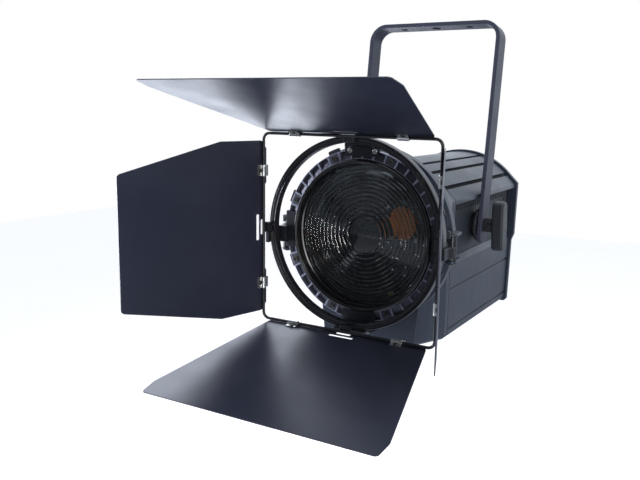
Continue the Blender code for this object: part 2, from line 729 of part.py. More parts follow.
def make_leaf(side):
    """One leaf and its two clips, hung on an empty on the wire's axis."""
    turn = Matrix.Rotation(math.radians(SIDE_TURN[side]), 4, "Y")
    to_wire = Matrix.Translation((0, WIRE_Y, WIRE_HALF))
    swing = Matrix.Rotation(math.pi - math.radians(LEAF_REST[side]), 4, "X")
    hinge = add_empty("hinge_" + side, HEAD, turn @ to_wire @ swing)
    leaf = LARGE_LEAF if side in ("top", "bottom") else SMALL_LEAF
    sheet_z = -(WIRE_R + GAP + SHEET / 2)
    plate("leaf_" + side, leaf_loops(leaf), SHEET, "black_paint", hinge,
          Matrix.Translation((0, 0, sheet_z)))
    # local x of the clip outline is the leaf's length, local z runs along the wire
    across = Matrix(((0, 0, 1, 0), (1, 0, 0, 0), (0, 1, 0, 0), (0, 0, 0, 1)))
    for index, offset in enumerate((-CLIP_OFFSET, CLIP_OFFSET), start=1):
        place = Matrix.Translation((offset, 0, 0)) @ across
        plate("clip_%s_%d" % (side, index), [clip_outline()], CLIP_WIDTH, "steel", hinge, place)


# ---------------------------------------------------------------- rear panel
REAR_CONNECTORS = {
    "power_inlet": (-0.050, -0.105), "power_outlet": (-0.018, -0.105),
    "dmx_in": (0.020, -0.105), "dmx_out": (0.054, -0.105),
}
BUTTON_X = (-0.030, -0.010, 0.010, 0.030)
BUTTON_Z = -0.066
FUSE_XZ = (0.0, -0.135)
FAN_Z = 0.014
FAN_HALF = 0.040


def rear_panel_loops():
    loops = [body_outline(-0.0062)]
    for x, z in REAR_CONNECTORS.values():
        loops.append(circle((x, z), 0.0118, 16))
    for x in BUTTON_X:
        loops.append(circle((x, BUTTON_Z), 0.0048, 12))
    loops.append(circle(FUSE_XZ, 0.0068, 16))
    slot_pitch = 0.010
    for index in range(8):
        middle = FAN_Z + (index - 3.5) * slot_pitch
        half = math.sqrt(FAN_HALF ** 2 - (middle - FAN_Z) ** 2)
        loops.append(rectangle(-half, middle - 0.003, half, middle + 0.003))
    return loops


def make_rear():
    back = PANEL_Y + 0.003
    section_plate("rear_panel", rear_panel_loops(), PANEL_Y, back, "black_paint")
    for name, (x, z) in REAR_CONNECTORS.items():
        profile = [
            (0.0, back + 0.0015), (0.0085, back + 0.0015), (0.0085, back + 0.0045),
            (0.0140, back + 0.0040), (0.0140, back + GAP), (0.0113, back + GAP),
            (0.0113, back - 0.018), (0.0, back - 0.018),
        ]
        turned(name, profile, "black_plastic", HEAD, (x, 0, z), segments=16, closed=False)
    fuse = [
        (0.0, back + 0.007), (0.0060, back + 0.007), (0.0085, back + 0.005), (0.0085, back + GAP),
        (0.0063, back + GAP), (0.0063, back - 0.015), (0.0, back - 0.015),
    ]
    turned("fuse_holder", fuse, "black_plastic", HEAD, (FUSE_XZ[0], 0, FUSE_XZ[1]),
           segments=16, closed=False)
    for index, x in enumerate(BUTTON_X, start=1):
        button = [
            (0.0, back + 0.0028), (0.0036, back + 0.0028), (0.0043, back + 0.0020),
            (0.0043, PANEL_Y - 0.0020), (0.0060, PANEL_Y - 0.0020), (0.0060, PANEL_Y - 0.0035),
            (0.0, PANEL_Y - 0.0035),
        ]
        turned("menu_button_%d" % index, button, "button_grey", HEAD, (x, 0, BUTTON_Z),
               segments=12, closed=False)
    window = box_mesh("display_window", (-0.034, back + GAP, -0.056), (0.034, back + 0.0018, -0.034))
    add_object("display_window", window, "window", HEAD)
    make_safety_eye(back)


def make_safety_eye(panel_face):
    """Welded eye for the safety cable, on the rear panel above the vent."""
    height = 0.070
    stem = plate("safety_eye", [arc((0, 0), 0.0105, 0, 360, 20)[:-1], circle((0, 0), 0.0060, 16)],
                 0.0045, "steel", HEAD, Matrix.Translation((0, panel_face + 0.0125, height)) @ SIDE)
    foot = box_mesh("foot", (-0.007, panel_face + GAP, height - 0.009),
                    (0.007, panel_face + 0.0036, height + 0.009))
    boolean(stem, as_cutter(add_object("eye_foot", foot, "steel", HEAD)), "UNION")


# ---------------------------------------------------------------- inside
def make_fan():
    """Exhaust fan behind the rear panel."""
    front = PANEL_Y - 0.030
    back = PANEL_Y - 0.0006
    bore = FAN_HALF - 0.0015
    frame = [rectangle(-FAN_HALF, FAN_Z - FAN_HALF, FAN_HALF, FAN_Z + FAN_HALF),
             circle((0, FAN_Z), bore, 32)]
    section_plate("fan_frame", frame, front, back, "black_plastic")
    hub = 0.016
    blades = 7
    outline = []
    for index in range(blades):
        start = index * 360.0 / blades
        outline += arc((0, 0), hub, start, start + 24.0, 2)
        outline += arc((0, 0), bore - 0.0020, start + 30.0, start + 48.0, 2)
    place = Matrix.Translation((0, (front + back) / 2, FAN_Z)) @ SECTION
    plate("fan_rotor", [outline], 0.020, "black_plastic", HEAD, place)


def heatsink_outline():
    """Comb of upright fins joined by a base web, seen from above: x across, y along the axis."""
    half = 0.056
    web = 0.010
    depth = 0.060
    fins = 12
    pitch = 2 * half / fins
    outline = [(-half, 0.0), (half, 0.0)]
    for index in range(fins):
        right = half - index * pitch
        outline += [(right, depth), (right - pitch * 0.45, depth)]
        outline += [(right - pitch * 0.45, web), (right - pitch, web)]
    return outline


def make_carriage():
    """Zoom carriage plate on its rods, with the LED module and heatsink."""
    loops = [rectangle(-0.076, -0.102, 0.076, 0.046)]
    loops.append(circle((-ROD_X, ROD_Z), ROD_R + GAP, 16))
    loops.append(circle((ROD_X, ROD_Z), ROD_R + GAP, 16))
    loops.append(circle((0, SCREW_Z), ROD_R + GAP, 16))
    section_plate("led_carriage", loops, CARRIAGE_Y, CARRIAGE_Y + 0.004, "aluminium")
    flat = Matrix.Translation((0, CARRIAGE_Y + 0.004 + GAP, 0))
    plate("heatsink", [heatsink_outline()], 0.110, "aluminium", HEAD, flat)
    front = CARRIAGE_Y - GAP
    module = [
        (0.030, front), (0.030, front - 0.004), (0.019, front - 0.004), (0.018, front - 0.0052),
        (0.0, front - 0.0052),
    ]
    turned("led_module", [(0.0, front)] + module, "led_yellow", OPTICS, (0, 0, 0),
           segments=32, closed=False)


def make_drive():
    """Guide rods, lead screw, zoom motor and power supply."""
    start = SHELL_FRONT_Y - 0.004
    end = SHELL_BACK_Y - 0.045
    for side, x in (("left", -ROD_X), ("right", ROD_X)):
        mesh = cylinder_mesh("rod", ROD_R, (x, start, ROD_Z), (x, end, ROD_Z), 16)
        smooth(add_object("guide_rod_" + side, mesh, "steel", HEAD))
    motor_front = SHELL_BACK_Y - 0.060
    mesh = cylinder_mesh("screw", ROD_R, (0, 0, 0), (0, motor_front - GAP - start, 0), 16)
    smooth(add_object("lead_screw", mesh, "brass", HEAD, (0, start, SCREW_Z)))
    half = 0.0105
    motor = box_mesh("motor", (-0.021, motor_front, SCREW_Z - half),
                     (0.021, motor_front + 0.036, SCREW_Z + half))
    add_object("zoom_motor", motor, "black_plastic", HEAD)
    supply = box_mesh("supply", (-0.050, 0.150, BASE_Z + WALL + 0.002), (0.050, 0.330, -0.112))
    add_object("power_supply", supply, "aluminium", HEAD)


def main():
    make_yoke()
    make_front_casting()
    make_shells()
    make_rear_cap()
    make_bezel()
    make_optics()
    make_holders()
    make_top_latch()
    make_accessory_ring()
    make_wire_frame()
    for side in SIDE_TURN:
        make_leaf(side)
    for side, sign in (("left", -1), ("right", 1)):
        make_pivot(side, sign)
    make_rear()
    make_fan()
    make_carriage()
    make_drive()


main()
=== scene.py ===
"""Looks of the LED fresnel spotlight with a four-leaf barn door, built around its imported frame.

Units are metres. The lamp shines towards -Y and hangs by the hole in its yoke, at the origin.
Housing pieces are placed from the barn door's centre, and optics from the lens axis below it.
"""
import json
import math

import bmesh
import bpy
from mathutils import Matrix, Vector


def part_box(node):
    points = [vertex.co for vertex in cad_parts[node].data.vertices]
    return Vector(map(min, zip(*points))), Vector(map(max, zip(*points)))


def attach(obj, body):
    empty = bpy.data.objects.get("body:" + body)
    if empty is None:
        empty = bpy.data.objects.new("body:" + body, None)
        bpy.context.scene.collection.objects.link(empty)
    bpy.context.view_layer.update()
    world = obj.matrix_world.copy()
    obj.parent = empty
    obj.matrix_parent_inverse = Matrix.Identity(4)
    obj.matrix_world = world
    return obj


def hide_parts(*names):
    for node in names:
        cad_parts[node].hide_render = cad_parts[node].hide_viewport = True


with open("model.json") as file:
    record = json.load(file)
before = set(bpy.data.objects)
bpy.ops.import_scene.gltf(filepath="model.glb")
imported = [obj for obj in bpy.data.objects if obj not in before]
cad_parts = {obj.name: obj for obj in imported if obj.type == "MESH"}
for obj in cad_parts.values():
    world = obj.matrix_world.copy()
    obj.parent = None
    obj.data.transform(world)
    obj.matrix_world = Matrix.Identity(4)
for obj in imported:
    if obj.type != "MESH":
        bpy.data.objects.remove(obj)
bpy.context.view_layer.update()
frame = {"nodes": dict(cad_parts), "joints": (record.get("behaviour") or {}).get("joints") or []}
JOINTS = {joint["name"]: joint for joint in frame["joints"]}

# ---------------------------------------------------------------- places on the frame
DOOR_CENTRE = Vector(JOINTS["barn_door_rotation"]["pos_m"])
PIVOT = Vector(JOINTS["housing_tilt"]["pos_m"])
YOKE_LEAN = math.radians(8.0)
LENS_LOW, LENS_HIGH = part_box("fresnel_lens")
LENS_CENTRE = Vector((0.0, DOOR_CENTRE.y, (LENS_LOW.z + LENS_HIGH.z) / 2))

HEAD = Matrix.Translation(DOOR_CENTRE)
OPTICS = Matrix.Translation(LENS_CENTRE)
YOKE = Matrix.Translation(PIVOT) @ Matrix.Rotation(-YOKE_LEAN, 4, "X")
# local x is world X, local y is world Z, local z is world -Y
SECTION = Matrix.Rotation(math.pi / 2, 4, "X")
# local x is world Y, local y is world Z, local z is world X
SIDE = Matrix(((0, 0, 1, 0), (1, 0, 0, 0), (0, 1, 0, 0), (0, 0, 0, 1)))
# local x is world -X, local y is world Z, local z is world +Y
REAR = Matrix(((-1, 0, 0, 0), (0, 0, 1, 0), (0, 1, 0, 0), (0, 0, 0, 1)))

# ---------------------------------------------------------------- sizes, as in the frame
GAP = 0.0004
SHEET = 0.0012
YOKE_HALF_WIDTH = 0.1046
YOKE_THICKNESS = 0.006
YOKE_BAR = 0.03
YOKE_LENGTH = 0.297
YOKE_CORNER = 0.026
YOKE_FOOT = 0.026
YOKE_HOLES = ((-0.053, 0.005), (0.0, 0.0065), (0.053, 0.005))
PIVOT_Y = 0.222
PIVOT_Z = -0.006
STUD_R = 0.005
STUD_END = 0.1165
KNOB_X = 0.1265
KNOB_TILT = 4.0
KNOB_LENGTH = 0.0365
KNOB_END = 0.0108
KNOB_WAIST = 0.0125

RING_R = 0.127
RING_INNER_R = 0.118
RING_DEPTH = 0.011
WIRE_R = 0.002
WIRE_HALF = 0.127
WIRE_CORNER = 0.009
WIRE_Y = -0.0138

LEAF_REST = {"top": 16.0, "bottom": 11.5, "left": 14.5, "right": 21.0}
SIDE_TURN = {"top": 0.0, "right": 90.0, "bottom": 180.0, "left": -90.0}
LARGE_LEAF = {"length": 0.215, "hinge_half": 0.117, "knee": 0.19, "knee_half": 0.158, "end_half": 0.156}
SMALL_LEAF = {"length": 0.218, "hinge_half": 0.117, "knee": 0.07, "knee_half": 0.117, "end_half": 0.083}
LEAF_START = -0.003
EAR_FROM = 0.057
EAR_TO = 0.11
EAR_LENGTH = 0.007
NOTCH_HALF = 0.01
NOTCH_EDGE = 0.003
SLOT_HALF = 0.0177
SLOT_NEAR = 0.006
SLOT_FAR = 0.0105
CLIP_OFFSET = 0.077
CLIP_WIDTH = 0.015

FLANGE_Y = 0.036
BEZEL_FRONT_Y = 0.027
BEZEL_R = 0.115
BEZEL_INNER_R = 0.102
CELL_COUNT = 40
RIB_HALF_ANGLE = 0.62
PAD_SINK = 0.0018
PAD_THICKNESS = 0.0034
LUG_COUNT = 8
LUG_R = 0.121
RETAINER_R = 0.1012
RETAINER_INNER_R = 0.096
LENS_R = 0.099
LENS_THICKNESS = 0.006
LENS_CENTRE_R = 0.0245
LENS_GROOVES = 13
LENS_SLOPE = 18.0
LENS_DRAFT = 0.11
BORE_R = 0.094

ARCH_R = 0.114
ARCH_CENTRE_Z = -0.024
ARCH_HALF_ANGLE = 48.0
SHOULDER_X = 0.097
SHOULDER_Z = 0.04
RIDGE_Z = 0.034
RECESS_X = 0.088
PANEL_THICKNESS = 0.003
LEDGE_TOP_Z = -0.041
LEDGE_Z = -0.05
BASE_X = 0.093
BASE_Z = -0.154
WALL = 0.004
GROOVE_WIDTH = 0.0032
GROOVE_DEPTH = 0.0022
ROOF_GROOVE_WIDTH = 0.006
ROOF_GROOVE_DEPTH = 0.0028
ROOF_GROOVES = (17.5, 30.0, 45.5)
SIDE_GROOVE_Z = (-0.084, -0.141)
VENT_COUNT = 30
VENT_PITCH = 0.0078
VENT_WIDTH = 0.0034
VENT_LOW_Z = RIDGE_Z - 0.0125
VENT_HIGH_Z = RIDGE_Z - 0.0025

DRUM_R = 0.1145
DRUM_RIM_R = 0.1198
DRUM_RIM_Y = 0.053
DRUM_WAIST_R = 0.106
DRUM_BACK_Y = 0.067
DRUM_WALL = 0.0045
BOX_FRONT_Y = 0.056
BOX_CHAMFER = 0.0255
BOX_FACET = 0.016
BOX_FACET_Y = 0.076
BOX_WAIST_Z = -0.135
BOX_SPREAD = 0.16
BOX_FLARE_Y = 0.107
SHELL_FRONT_Y = 0.118
SHELL_BACK_Y = 0.378
CAP_BACK_Y = 0.406
CAP_TAPER = 0.018
ROOF_TOP_Z = ARCH_R + ARCH_CENTRE_Z
SEAM_LEAN = 0.0697
SEAM_LOW = 0.002
PANEL_Y = 0.382
PANEL_BACK_Y = 0.385

HOLDER_Z = -0.012
HOLDER_HALF = 0.022
PLATE_HALF = 0.026
PLATE_DRAFT = 4 * GAP
LATCH_SHIFT = 0.002
LATCH_WIDTH = 0.036
HOOK_R = 0.1275
LIP_R = RING_R - 0.0015
LIP_Y = -0.0034
HOLDER_R = 0.135
HOLDER_FOOT_R = 0.1225
HOLDER_BACK_Y = 0.05
BARREL_XY = (0.1235, 0.04)

CARRIAGE_Y = 0.13
ROD_X = 0.07
ROD_Z = -0.062
SCREW_Z = -0.09
ROD_R = 0.004
FAN_Z = 0.014
FAN_HALF = 0.04
FAN_SLOTS = 8
FAN_SLOT_PITCH = 0.01
FAN_BLADES = 7
CONNECTORS = {
    "power_inlet": (-0.05, -0.105), "power_outlet": (-0.018, -0.105),
    "dmx_in": (0.02, -0.105), "dmx_out": (0.054, -0.105),
}
SOCKET_FACE_Y = -0.0042
PIN_SEAT_Y = -0.004
PIN_CIRCLE_R = 0.0042
BUTTON_X = (-0.03, -0.01, 0.01, 0.03)
BUTTON_Z = -0.066
FUSE_XZ = (0.0, -0.135)
EYE_Z = 0.07

# ---------------------------------------------------------------- studio sizes
FLOOR_Z = -1.3
FLOOR_HALF = 6
VIEW_AZIMUTH = 30.73
VIEW_ELEVATION = 10.14
VIEW_ROLL = 0.8
VIEW_TARGET = (-0.04567, 0.0, -0.01165)
VIEW_DISTANCE = 0.98463
VIEW_LENS_MM = 41.77


# ---------------------------------------------------------------- places
def move(x, y, z):
    """Matrix of a shift."""
    return Matrix.Translation((x, y, z))


def spin(degrees, axis):
    """Matrix of a turn about an axis."""
    return Matrix.Rotation(math.radians(degrees), 4, axis)


# ---------------------------------------------------------------- outlines
def arc(centre, radius, start, end, count):
    """Points of an arc; angles in degrees, counter-clockwise from +x."""
    points = []
    for step in range(count + 1):
        angle = math.radians(start + (end - start) * step / count)
        points.append((centre[0] + radius * math.cos(angle), centre[1] + radius * math.sin(angle)))
    return points


def circle(centre, radius, count=32):
    """Points of a full circle."""
    return arc(centre, radius, 0.0, 360.0, count)[:-1]


def rectangle(low_x, low_y, high_x, high_y):
    """Corners of an upright rectangle, counter-clockwise."""
    return [(low_x, low_y), (high_x, low_y), (high_x, high_y), (low_x, high_y)]


def fillet(points, radius, steps=3, closed=True):
    """Round the corners of an outline as far as its edges allow."""
    rounded = []
    count = len(points)
    for index, point in enumerate(points):
        corner = Vector(point)
        if not closed and index in (0, count - 1):
            rounded.append(point)
            continue
        before = Vector(points[index - 1]) - corner
        after = Vector(points[(index + 1) % count]) - corner
        if before.length < 1e-9 or after.length < 1e-9 or before.angle(-after) < math.radians(12.0):
            rounded.append(point)
            continue
        reach = min(radius, before.length * 0.45, after.length * 0.45)
        start = corner + before.normalized() * reach
        end = corner + after.normalized() * reach
        for step in range(steps + 1):
            t = step / steps
            blend = start * (1 - t) ** 2 + corner * 2 * t * (1 - t) + end * t ** 2
            rounded.append((blend.x, blend.y))
    return rounded


def mirrored(half):
    """Close a right-hand half outline with its mirror image."""
    return half + [(-x, y) for x, y in reversed(half) if abs(x) > 1e-9]


# ---------------------------------------------------------------- mesh builders
def linked(name, data):
    """A new object for a mesh, curve, light or camera, linked to the scene."""
    obj = bpy.data.objects.new(name, data)
    bpy.context.scene.collection.objects.link(obj)
    return obj


def applied(base, *helpers):
    """The mesh of an object after its modifiers; the object and its helpers are removed."""
    evaluated = base.evaluated_get(bpy.context.evaluated_depsgraph_get())
    result = bpy.data.meshes.new_from_object(evaluated)
    for obj in (*helpers, base):
        bpy.data.objects.remove(obj, do_unlink=True)
    return result


def mesh_from(name, build):
    """A mesh made by a function that fills a bmesh."""
    bm = bmesh.new()
    build(bm)
    bmesh.ops.recalc_face_normals(bm, faces=bm.faces)
    mesh = bpy.data.meshes.new(name)
    bm.to_mesh(mesh)
    bm.free()
    return mesh


def bridge(bm, rings, closed=False):
    """Faces between neighbouring rings of vertices; a ring of one vertex is a point."""
    pairs = list(zip(rings, rings[1:]))
    if closed:
        pairs.append((rings[-1], rings[0]))
    for near, far in pairs:
        count = max(len(near), len(far))
        if count == 1:
            continue
        for index in range(count):
            after = (index + 1) % count
            if len(near) == 1:
                bm.faces.new((near[0], far[after], far[index]))
            elif len(far) == 1:
                bm.faces.new((near[index], near[after], far[0]))
            else:
                bm.faces.new((near[index], near[after], far[after], far[index]))


def cap_ends(bm, rings):
    bm.faces.new(rings[0])
    bm.faces.new(rings[-1])


def lathe(name, profile, segments=128, closed=True):
    """Turn a (radius, station) profile about the Y axis; an open profile starts and ends on it."""
    def build(bm):
        rings = []
        for radius, station in profile:
            ring = []
            for step in range(segments if radius > 1e-7 else 1):
                angle = 2 * math.pi * step / segments
                ring.append(bm.verts.new((radius * math.cos(angle), station, radius * math.sin(angle))))
            rings.append(ring)
        bridge(bm, rings, closed)
    return mesh_from(name, build)


def slab(name, loops, thickness, edge=0.0003, steps=2):
    """A flat outline with holes, its rims rounded, with the mid-plane on local z = 0."""
    curve = bpy.data.curves.new(name, "CURVE")
    curve.dimensions = "2D"
    curve.fill_mode = "BOTH"
    curve.extrude = thickness / 2 - edge
    curve.bevel_depth = edge
    curve.bevel_resolution = steps
    curve.offset = -edge
    for loop in loops:
        spline = curve.splines.new("POLY")
        spline.points.add(len(loop) - 1)
        for point, (x, y) in zip(spline.points, loop):
            point.co = (x, y, 0.0, 1.0)
        spline.use_cyclic_u = True
    mesh = applied(linked(name, curve))
    bpy.data.curves.remove(curve)
    bm = bmesh.new()
    bm.from_mesh(mesh)
    bmesh.ops.remove_doubles(bm, verts=bm.verts, dist=0.000002)
    bmesh.ops.dissolve_limit(bm, angle_limit=0.001, verts=bm.verts, edges=bm.edges)
    bmesh.ops.recalc_face_normals(bm, faces=bm.faces)
    bm.to_mesh(mesh)
    bm.free()
    mesh.materials.clear()
    return mesh


def block(name, low, high, radius=0.0006, segments=3):
    """A box with rounded edges."""
    low = Vector(low)
    high = Vector(high)

    def build(bm):
        bmesh.ops.create_cube(bm, size=1.0)
        bmesh.ops.scale(bm, vec=high - low, verts=bm.verts)
        bmesh.ops.translate(bm, vec=(low + high) / 2, verts=bm.verts)
        bmesh.ops.bevel(bm, geom=bm.edges[:], offset=radius, segments=segments, profile=0.5,
                        affect="EDGES", clamp_overlap=True)
    return mesh_from(name, build)


def rod(name, radius, start, end, segments=32, edge=0.0003):
    """A round bar between two points, with chamfered ends."""
    start = Vector(start)
    axis = Vector(end) - start
    turn = Vector((0, 1, 0)).rotation_difference(axis).to_matrix().to_4x4()
    profile = [(0.0, 0.0), (radius - edge, 0.0), (radius, edge), (radius, axis.length - edge),
               (radius - edge, axis.length), (0.0, axis.length)]
    mesh = lathe(name, profile, segments, closed=False)
    mesh.transform(Matrix.Translation(start) @ turn)
    return mesh


def tube(name, points, radius, sides=16, closed=False):
    """A round wire along points, in a frame that doesn't twist."""
    path = [Vector(point) for point in points]
    count = len(path)
    rings = []
    normal = None
    for index, point in enumerate(path):
        after = path[(index + 1) % count] if closed or index < count - 1 else point
        before = path[index - 1] if closed or index > 0 else point
        tangent = (after - before).normalized()
        if normal is None:
            normal = tangent.orthogonal().normalized()
        normal = (normal - tangent * normal.dot(tangent)).normalized()
        side = tangent.cross(normal)
        ring = []
        for step in range(sides):
            angle = 2 * math.pi * step / sides
            ring.append(point + (normal * math.cos(angle) + side * math.sin(angle)) * radius)
        rings.append(ring)

    def build(bm):
        verts = [[bm.verts.new(co) for co in ring] for ring in rings]
        bridge(bm, verts, closed)
        if not closed:
            cap_ends(bm, verts)
    return mesh_from(name, build)


def lofted(name, stations):
    """A closed solid through outlines of equal point count, given as (station, outline) pairs."""
    def build(bm):
        loops = [[bm.verts.new((x, station, z)) for x, z in outline] for station, outline in stations]
        cap_ends(bm, loops)
        bridge(bm, loops)
    return mesh_from(name, build)


def merged(name, parts):
    """One mesh from meshes, each bare or as a (mesh, matrix) pair."""
    bm = bmesh.new()
    for part in parts:
        mesh, matrix = part if isinstance(part, tuple) else (part, Matrix.Identity(4))
        copy = mesh.copy()
        copy.transform(matrix)
        bm.from_mesh(copy)
        bpy.data.meshes.remove(copy)
    mesh = bpy.data.meshes.new(name)
    bm.to_mesh(mesh)
    bm.free()
    return mesh


def cut(mesh, others, operation="DIFFERENCE"):
    """Apply Booleans of the other meshes to a mesh and return the result."""
    base = linked("cut_base", mesh)
    helpers = [linked("cut_tool", other) for other in others]
    for helper in helpers:
        modifier = base.modifiers.new("cut", "BOOLEAN")
        modifier.operation = operation
        modifier.solver = "EXACT"
        modifier.object = helper
    return applied(base, *helpers)


def rounded(mesh, width, segments=2, angle=30.0):
    """Apply a Bevel to a mesh's sharp edges and return the result."""
    base = linked("bevel_base", mesh)
    modifier = base.modifiers.new("bevel", "BEVEL")
    modifier.width = width
    modifier.segments = segments
    modifier.limit_method = "ANGLE"
    modifier.angle_limit = math.radians(angle)
    return applied(base)


def piece(name, mesh, material, matrix, body, replaces=(), sharp=38.0):
    """Place a finished mesh, shade it and ride it on a body of the frame."""
    mesh.name = name
    mesh.materials.clear()
    mesh.materials.append(MATERIALS[material])
    mesh.shade_smooth()
    mesh.set_sharp_from_angle(angle=math.radians(sharp))
    obj = linked(name, mesh)
    obj.matrix_world = matrix
    weighted = obj.modifiers.new("flat_faces", "WEIGHTED_NORMAL")
    weighted.keep_sharp = True
    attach(obj, body)
    if replaces:
        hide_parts(*replaces)
    return obj


def add_screws(name, head, places, material, seat, body="housing"):
    """One piece from copies of a screw head."""
    piece(name, merged("screws", [(head, place) for place in places]), material, seat, body)


# ---------------------------------------------------------------- materials
def node_tree(name):
    material = bpy.data.materials.new(name)
    material.use_nodes = True
    return material, material.node_tree, material.node_tree.nodes["Principled BSDF"]


def coordinates(tree, stretch=(1.0, 1.0, 1.0)):
    place = tree.nodes.new("ShaderNodeTexCoord")
    mapping = tree.nodes.new("ShaderNodeMapping")
    mapping.inputs["Scale"].default_value = stretch
    tree.links.new(place.outputs["Object"], mapping.inputs["Vector"])
    return mapping.outputs["Vector"]


def noise(tree, vector, scale, detail=3.0):
    node = tree.nodes.new("ShaderNodeTexNoise")
    node.inputs["Scale"].default_value = scale
    node.inputs["Detail"].default_value = detail
    tree.links.new(vector, node.inputs["Vector"])
    return node.outputs["Fac"]


def remap(tree, value, low, high, new_low, new_high):
    node = tree.nodes.new("ShaderNodeMapRange")
    node.inputs["From Min"].default_value = low
    node.inputs["From Max"].default_value = high
    node.inputs["To Min"].default_value = new_low
    node.inputs["To Max"].default_value = new_high
    tree.links.new(value, node.inputs["Value"])
    return node.outputs["Result"]


def product(tree, first, second):
    node = tree.nodes.new("ShaderNodeMath")
    node.operation = "MULTIPLY"
    tree.links.new(first, node.inputs[0])
    tree.links.new(second, node.inputs[1])
    return node.outputs["Value"]


def colour_mix(tree, factor, first, second):
    """Mix two colours, each a socket or an RGB triple."""
    node = tree.nodes.new("ShaderNodeMix")
    node.data_type = "RGBA"
    tree.links.new(factor, node.inputs["Factor"])
    for socket, value in ((node.inputs["A"], first), (node.inputs["B"], second)):
        if isinstance(value, tuple):
            socket.default_value = (*value, 1.0)
        else:
            tree.links.new(value, socket)
    return node.outputs["Result"]


def bump(tree, shader, height, distance, strength=1.0):
    node = tree.nodes.new("ShaderNodeBump")
    node.inputs["Distance"].default_value = distance
    node.inputs["Strength"].default_value = strength
    tree.links.new(height, node.inputs["Height"])
    tree.links.new(node.outputs["Normal"], shader.inputs["Normal"])


def edge_mask(tree, radius):
    """Bright where a convex or concave edge is near."""
    geometry = tree.nodes.new("ShaderNodeNewGeometry")
    soft = tree.nodes.new("ShaderNodeBevel")
    soft.samples = 4
    soft.inputs["Radius"].default_value = radius
    dot = tree.nodes.new("ShaderNodeVectorMath")
    dot.operation = "DOT_PRODUCT"
    tree.links.new(geometry.outputs["Normal"], dot.inputs[0])
    tree.links.new(soft.outputs["Normal"], dot.inputs[1])
    return remap(tree, dot.outputs["Value"], 0.97, 0.8, 0.0, 1.0)


def shade(colour, factor):
    return tuple(channel * factor for channel in colour)


def surface(name, colour, roughness, metallic=0.0, grain=1400.0, relief=0.00002, mottle=0.12,
            smudge=0.06, edge_wear_and_highlight=None, stretch=(1.0, 1.0, 1.0), specular=0.5, coat=0.0):
    """A finish with fine grain, cloudy colour, uneven gloss and, if an edge colour is given, edges painted
    in that lighter colour: partly rubbed wear, partly a painted highlight.
    """
    material, tree, shader = node_tree(name)
    vector = coordinates(tree, stretch)
    plain = coordinates(tree)
    tone = remap(tree, noise(tree, plain, 28.0, 5.0), 0.3, 0.7, 0.0, 1.0)
    base = colour_mix(tree, tone, shade(colour, 1.0 - mottle), shade(colour, 1.0 + mottle))
    speck = remap(tree, noise(tree, vector, grain * 0.55, 2.0), 0.35, 0.65, 0.0, 1.0)
    base = colour_mix(tree, speck, base, shade(colour, 1.0 + mottle * 0.5))
    # edges painted lighter: partly rubbed paint, partly a painted highlight along the edges
    if edge_wear_and_highlight:
        worn_and_highlit_patches = remap(tree, noise(tree, plain, 160.0, 4.0), 0.38, 0.62, 0.15, 0.9)
        base = colour_mix(tree, product(tree, edge_mask(tree, 0.0007), worn_and_highlit_patches), base, edge_wear_and_highlight)
    tree.links.new(base, shader.inputs["Base Color"])
    gloss = remap(tree, noise(tree, plain, 17.0, 6.0), 0.3, 0.7, roughness - smudge, roughness + smudge)
    tree.links.new(gloss, shader.inputs["Roughness"])
    shader.inputs["Metallic"].default_value = metallic
    shader.inputs["Specular IOR Level"].default_value = specular
    shader.inputs["Coat Weight"].default_value = coat
    shader.inputs["Coat Roughness"].default_value = 0.12
    bump(tree, shader, noise(tree, vector, grain, 3.0), relief)
    return material


def clear_glass(name):
    """Pressed lens glass with a faint green cast and a trace of dust."""
    material, tree, shader = node_tree(name)
    vector = coordinates(tree)
    shader.inputs["Base Color"].default_value = (0.9, 0.94, 0.93, 1.0)
    shader.inputs["Transmission Weight"].default_value = 1.0
    shader.inputs["IOR"].default_value = 1.5
    gloss = remap(tree, noise(tree, vector, 60.0, 6.0), 0.35, 0.75, 0.0, 0.03)
    tree.links.new(gloss, shader.inputs["Roughness"])
    return material


def phosphor(name):
    """Yellow phosphor over a close grid of light chips."""
    material, tree, shader = node_tree(name)
    vector = coordinates(tree)
    cells = tree.nodes.new("ShaderNodeTexVoronoi")
    cells.inputs["Scale"].default_value = 520.0
    cells.inputs["Randomness"].default_value = 0.25
    tree.links.new(vector, cells.inputs["Vector"])
    spots = remap(tree, cells.outputs["Distance"], 0.1, 0.6, 0.0, 1.0)
    base = colour_mix(tree, spots, (0.98, 0.32, 0.05), (0.8, 0.22, 0.03))
    tree.links.new(base, shader.inputs["Base Color"])
    shader.inputs["Roughness"].default_value = 0.5
    shader.inputs["Coat Weight"].default_value = 0.4
    bump(tree, shader, cells.outputs["Distance"], 0.0002)
    return material


def striped_screen(name):
    """Unlit display glass over a faint pixel grid."""
    material, tree, shader = node_tree(name)
    vector = coordinates(tree)
    wave = tree.nodes.new("ShaderNodeTexWave")
    wave.inputs["Scale"].default_value = 260.0
    tree.links.new(vector, wave.inputs["Vector"])
    base = colour_mix(tree, remap(tree, wave.outputs["Fac"], 0.2, 0.8, 0.0, 1.0),
                      (0.01, 0.022, 0.03), (0.016, 0.034, 0.044))
    tree.links.new(base, shader.inputs["Base Color"])
    gloss = remap(tree, noise(tree, vector, 120.0, 4.0), 0.3, 0.7, 0.06, 0.14)
    tree.links.new(gloss, shader.inputs["Roughness"])
    shader.inputs["Coat Weight"].default_value = 1.0
    return material
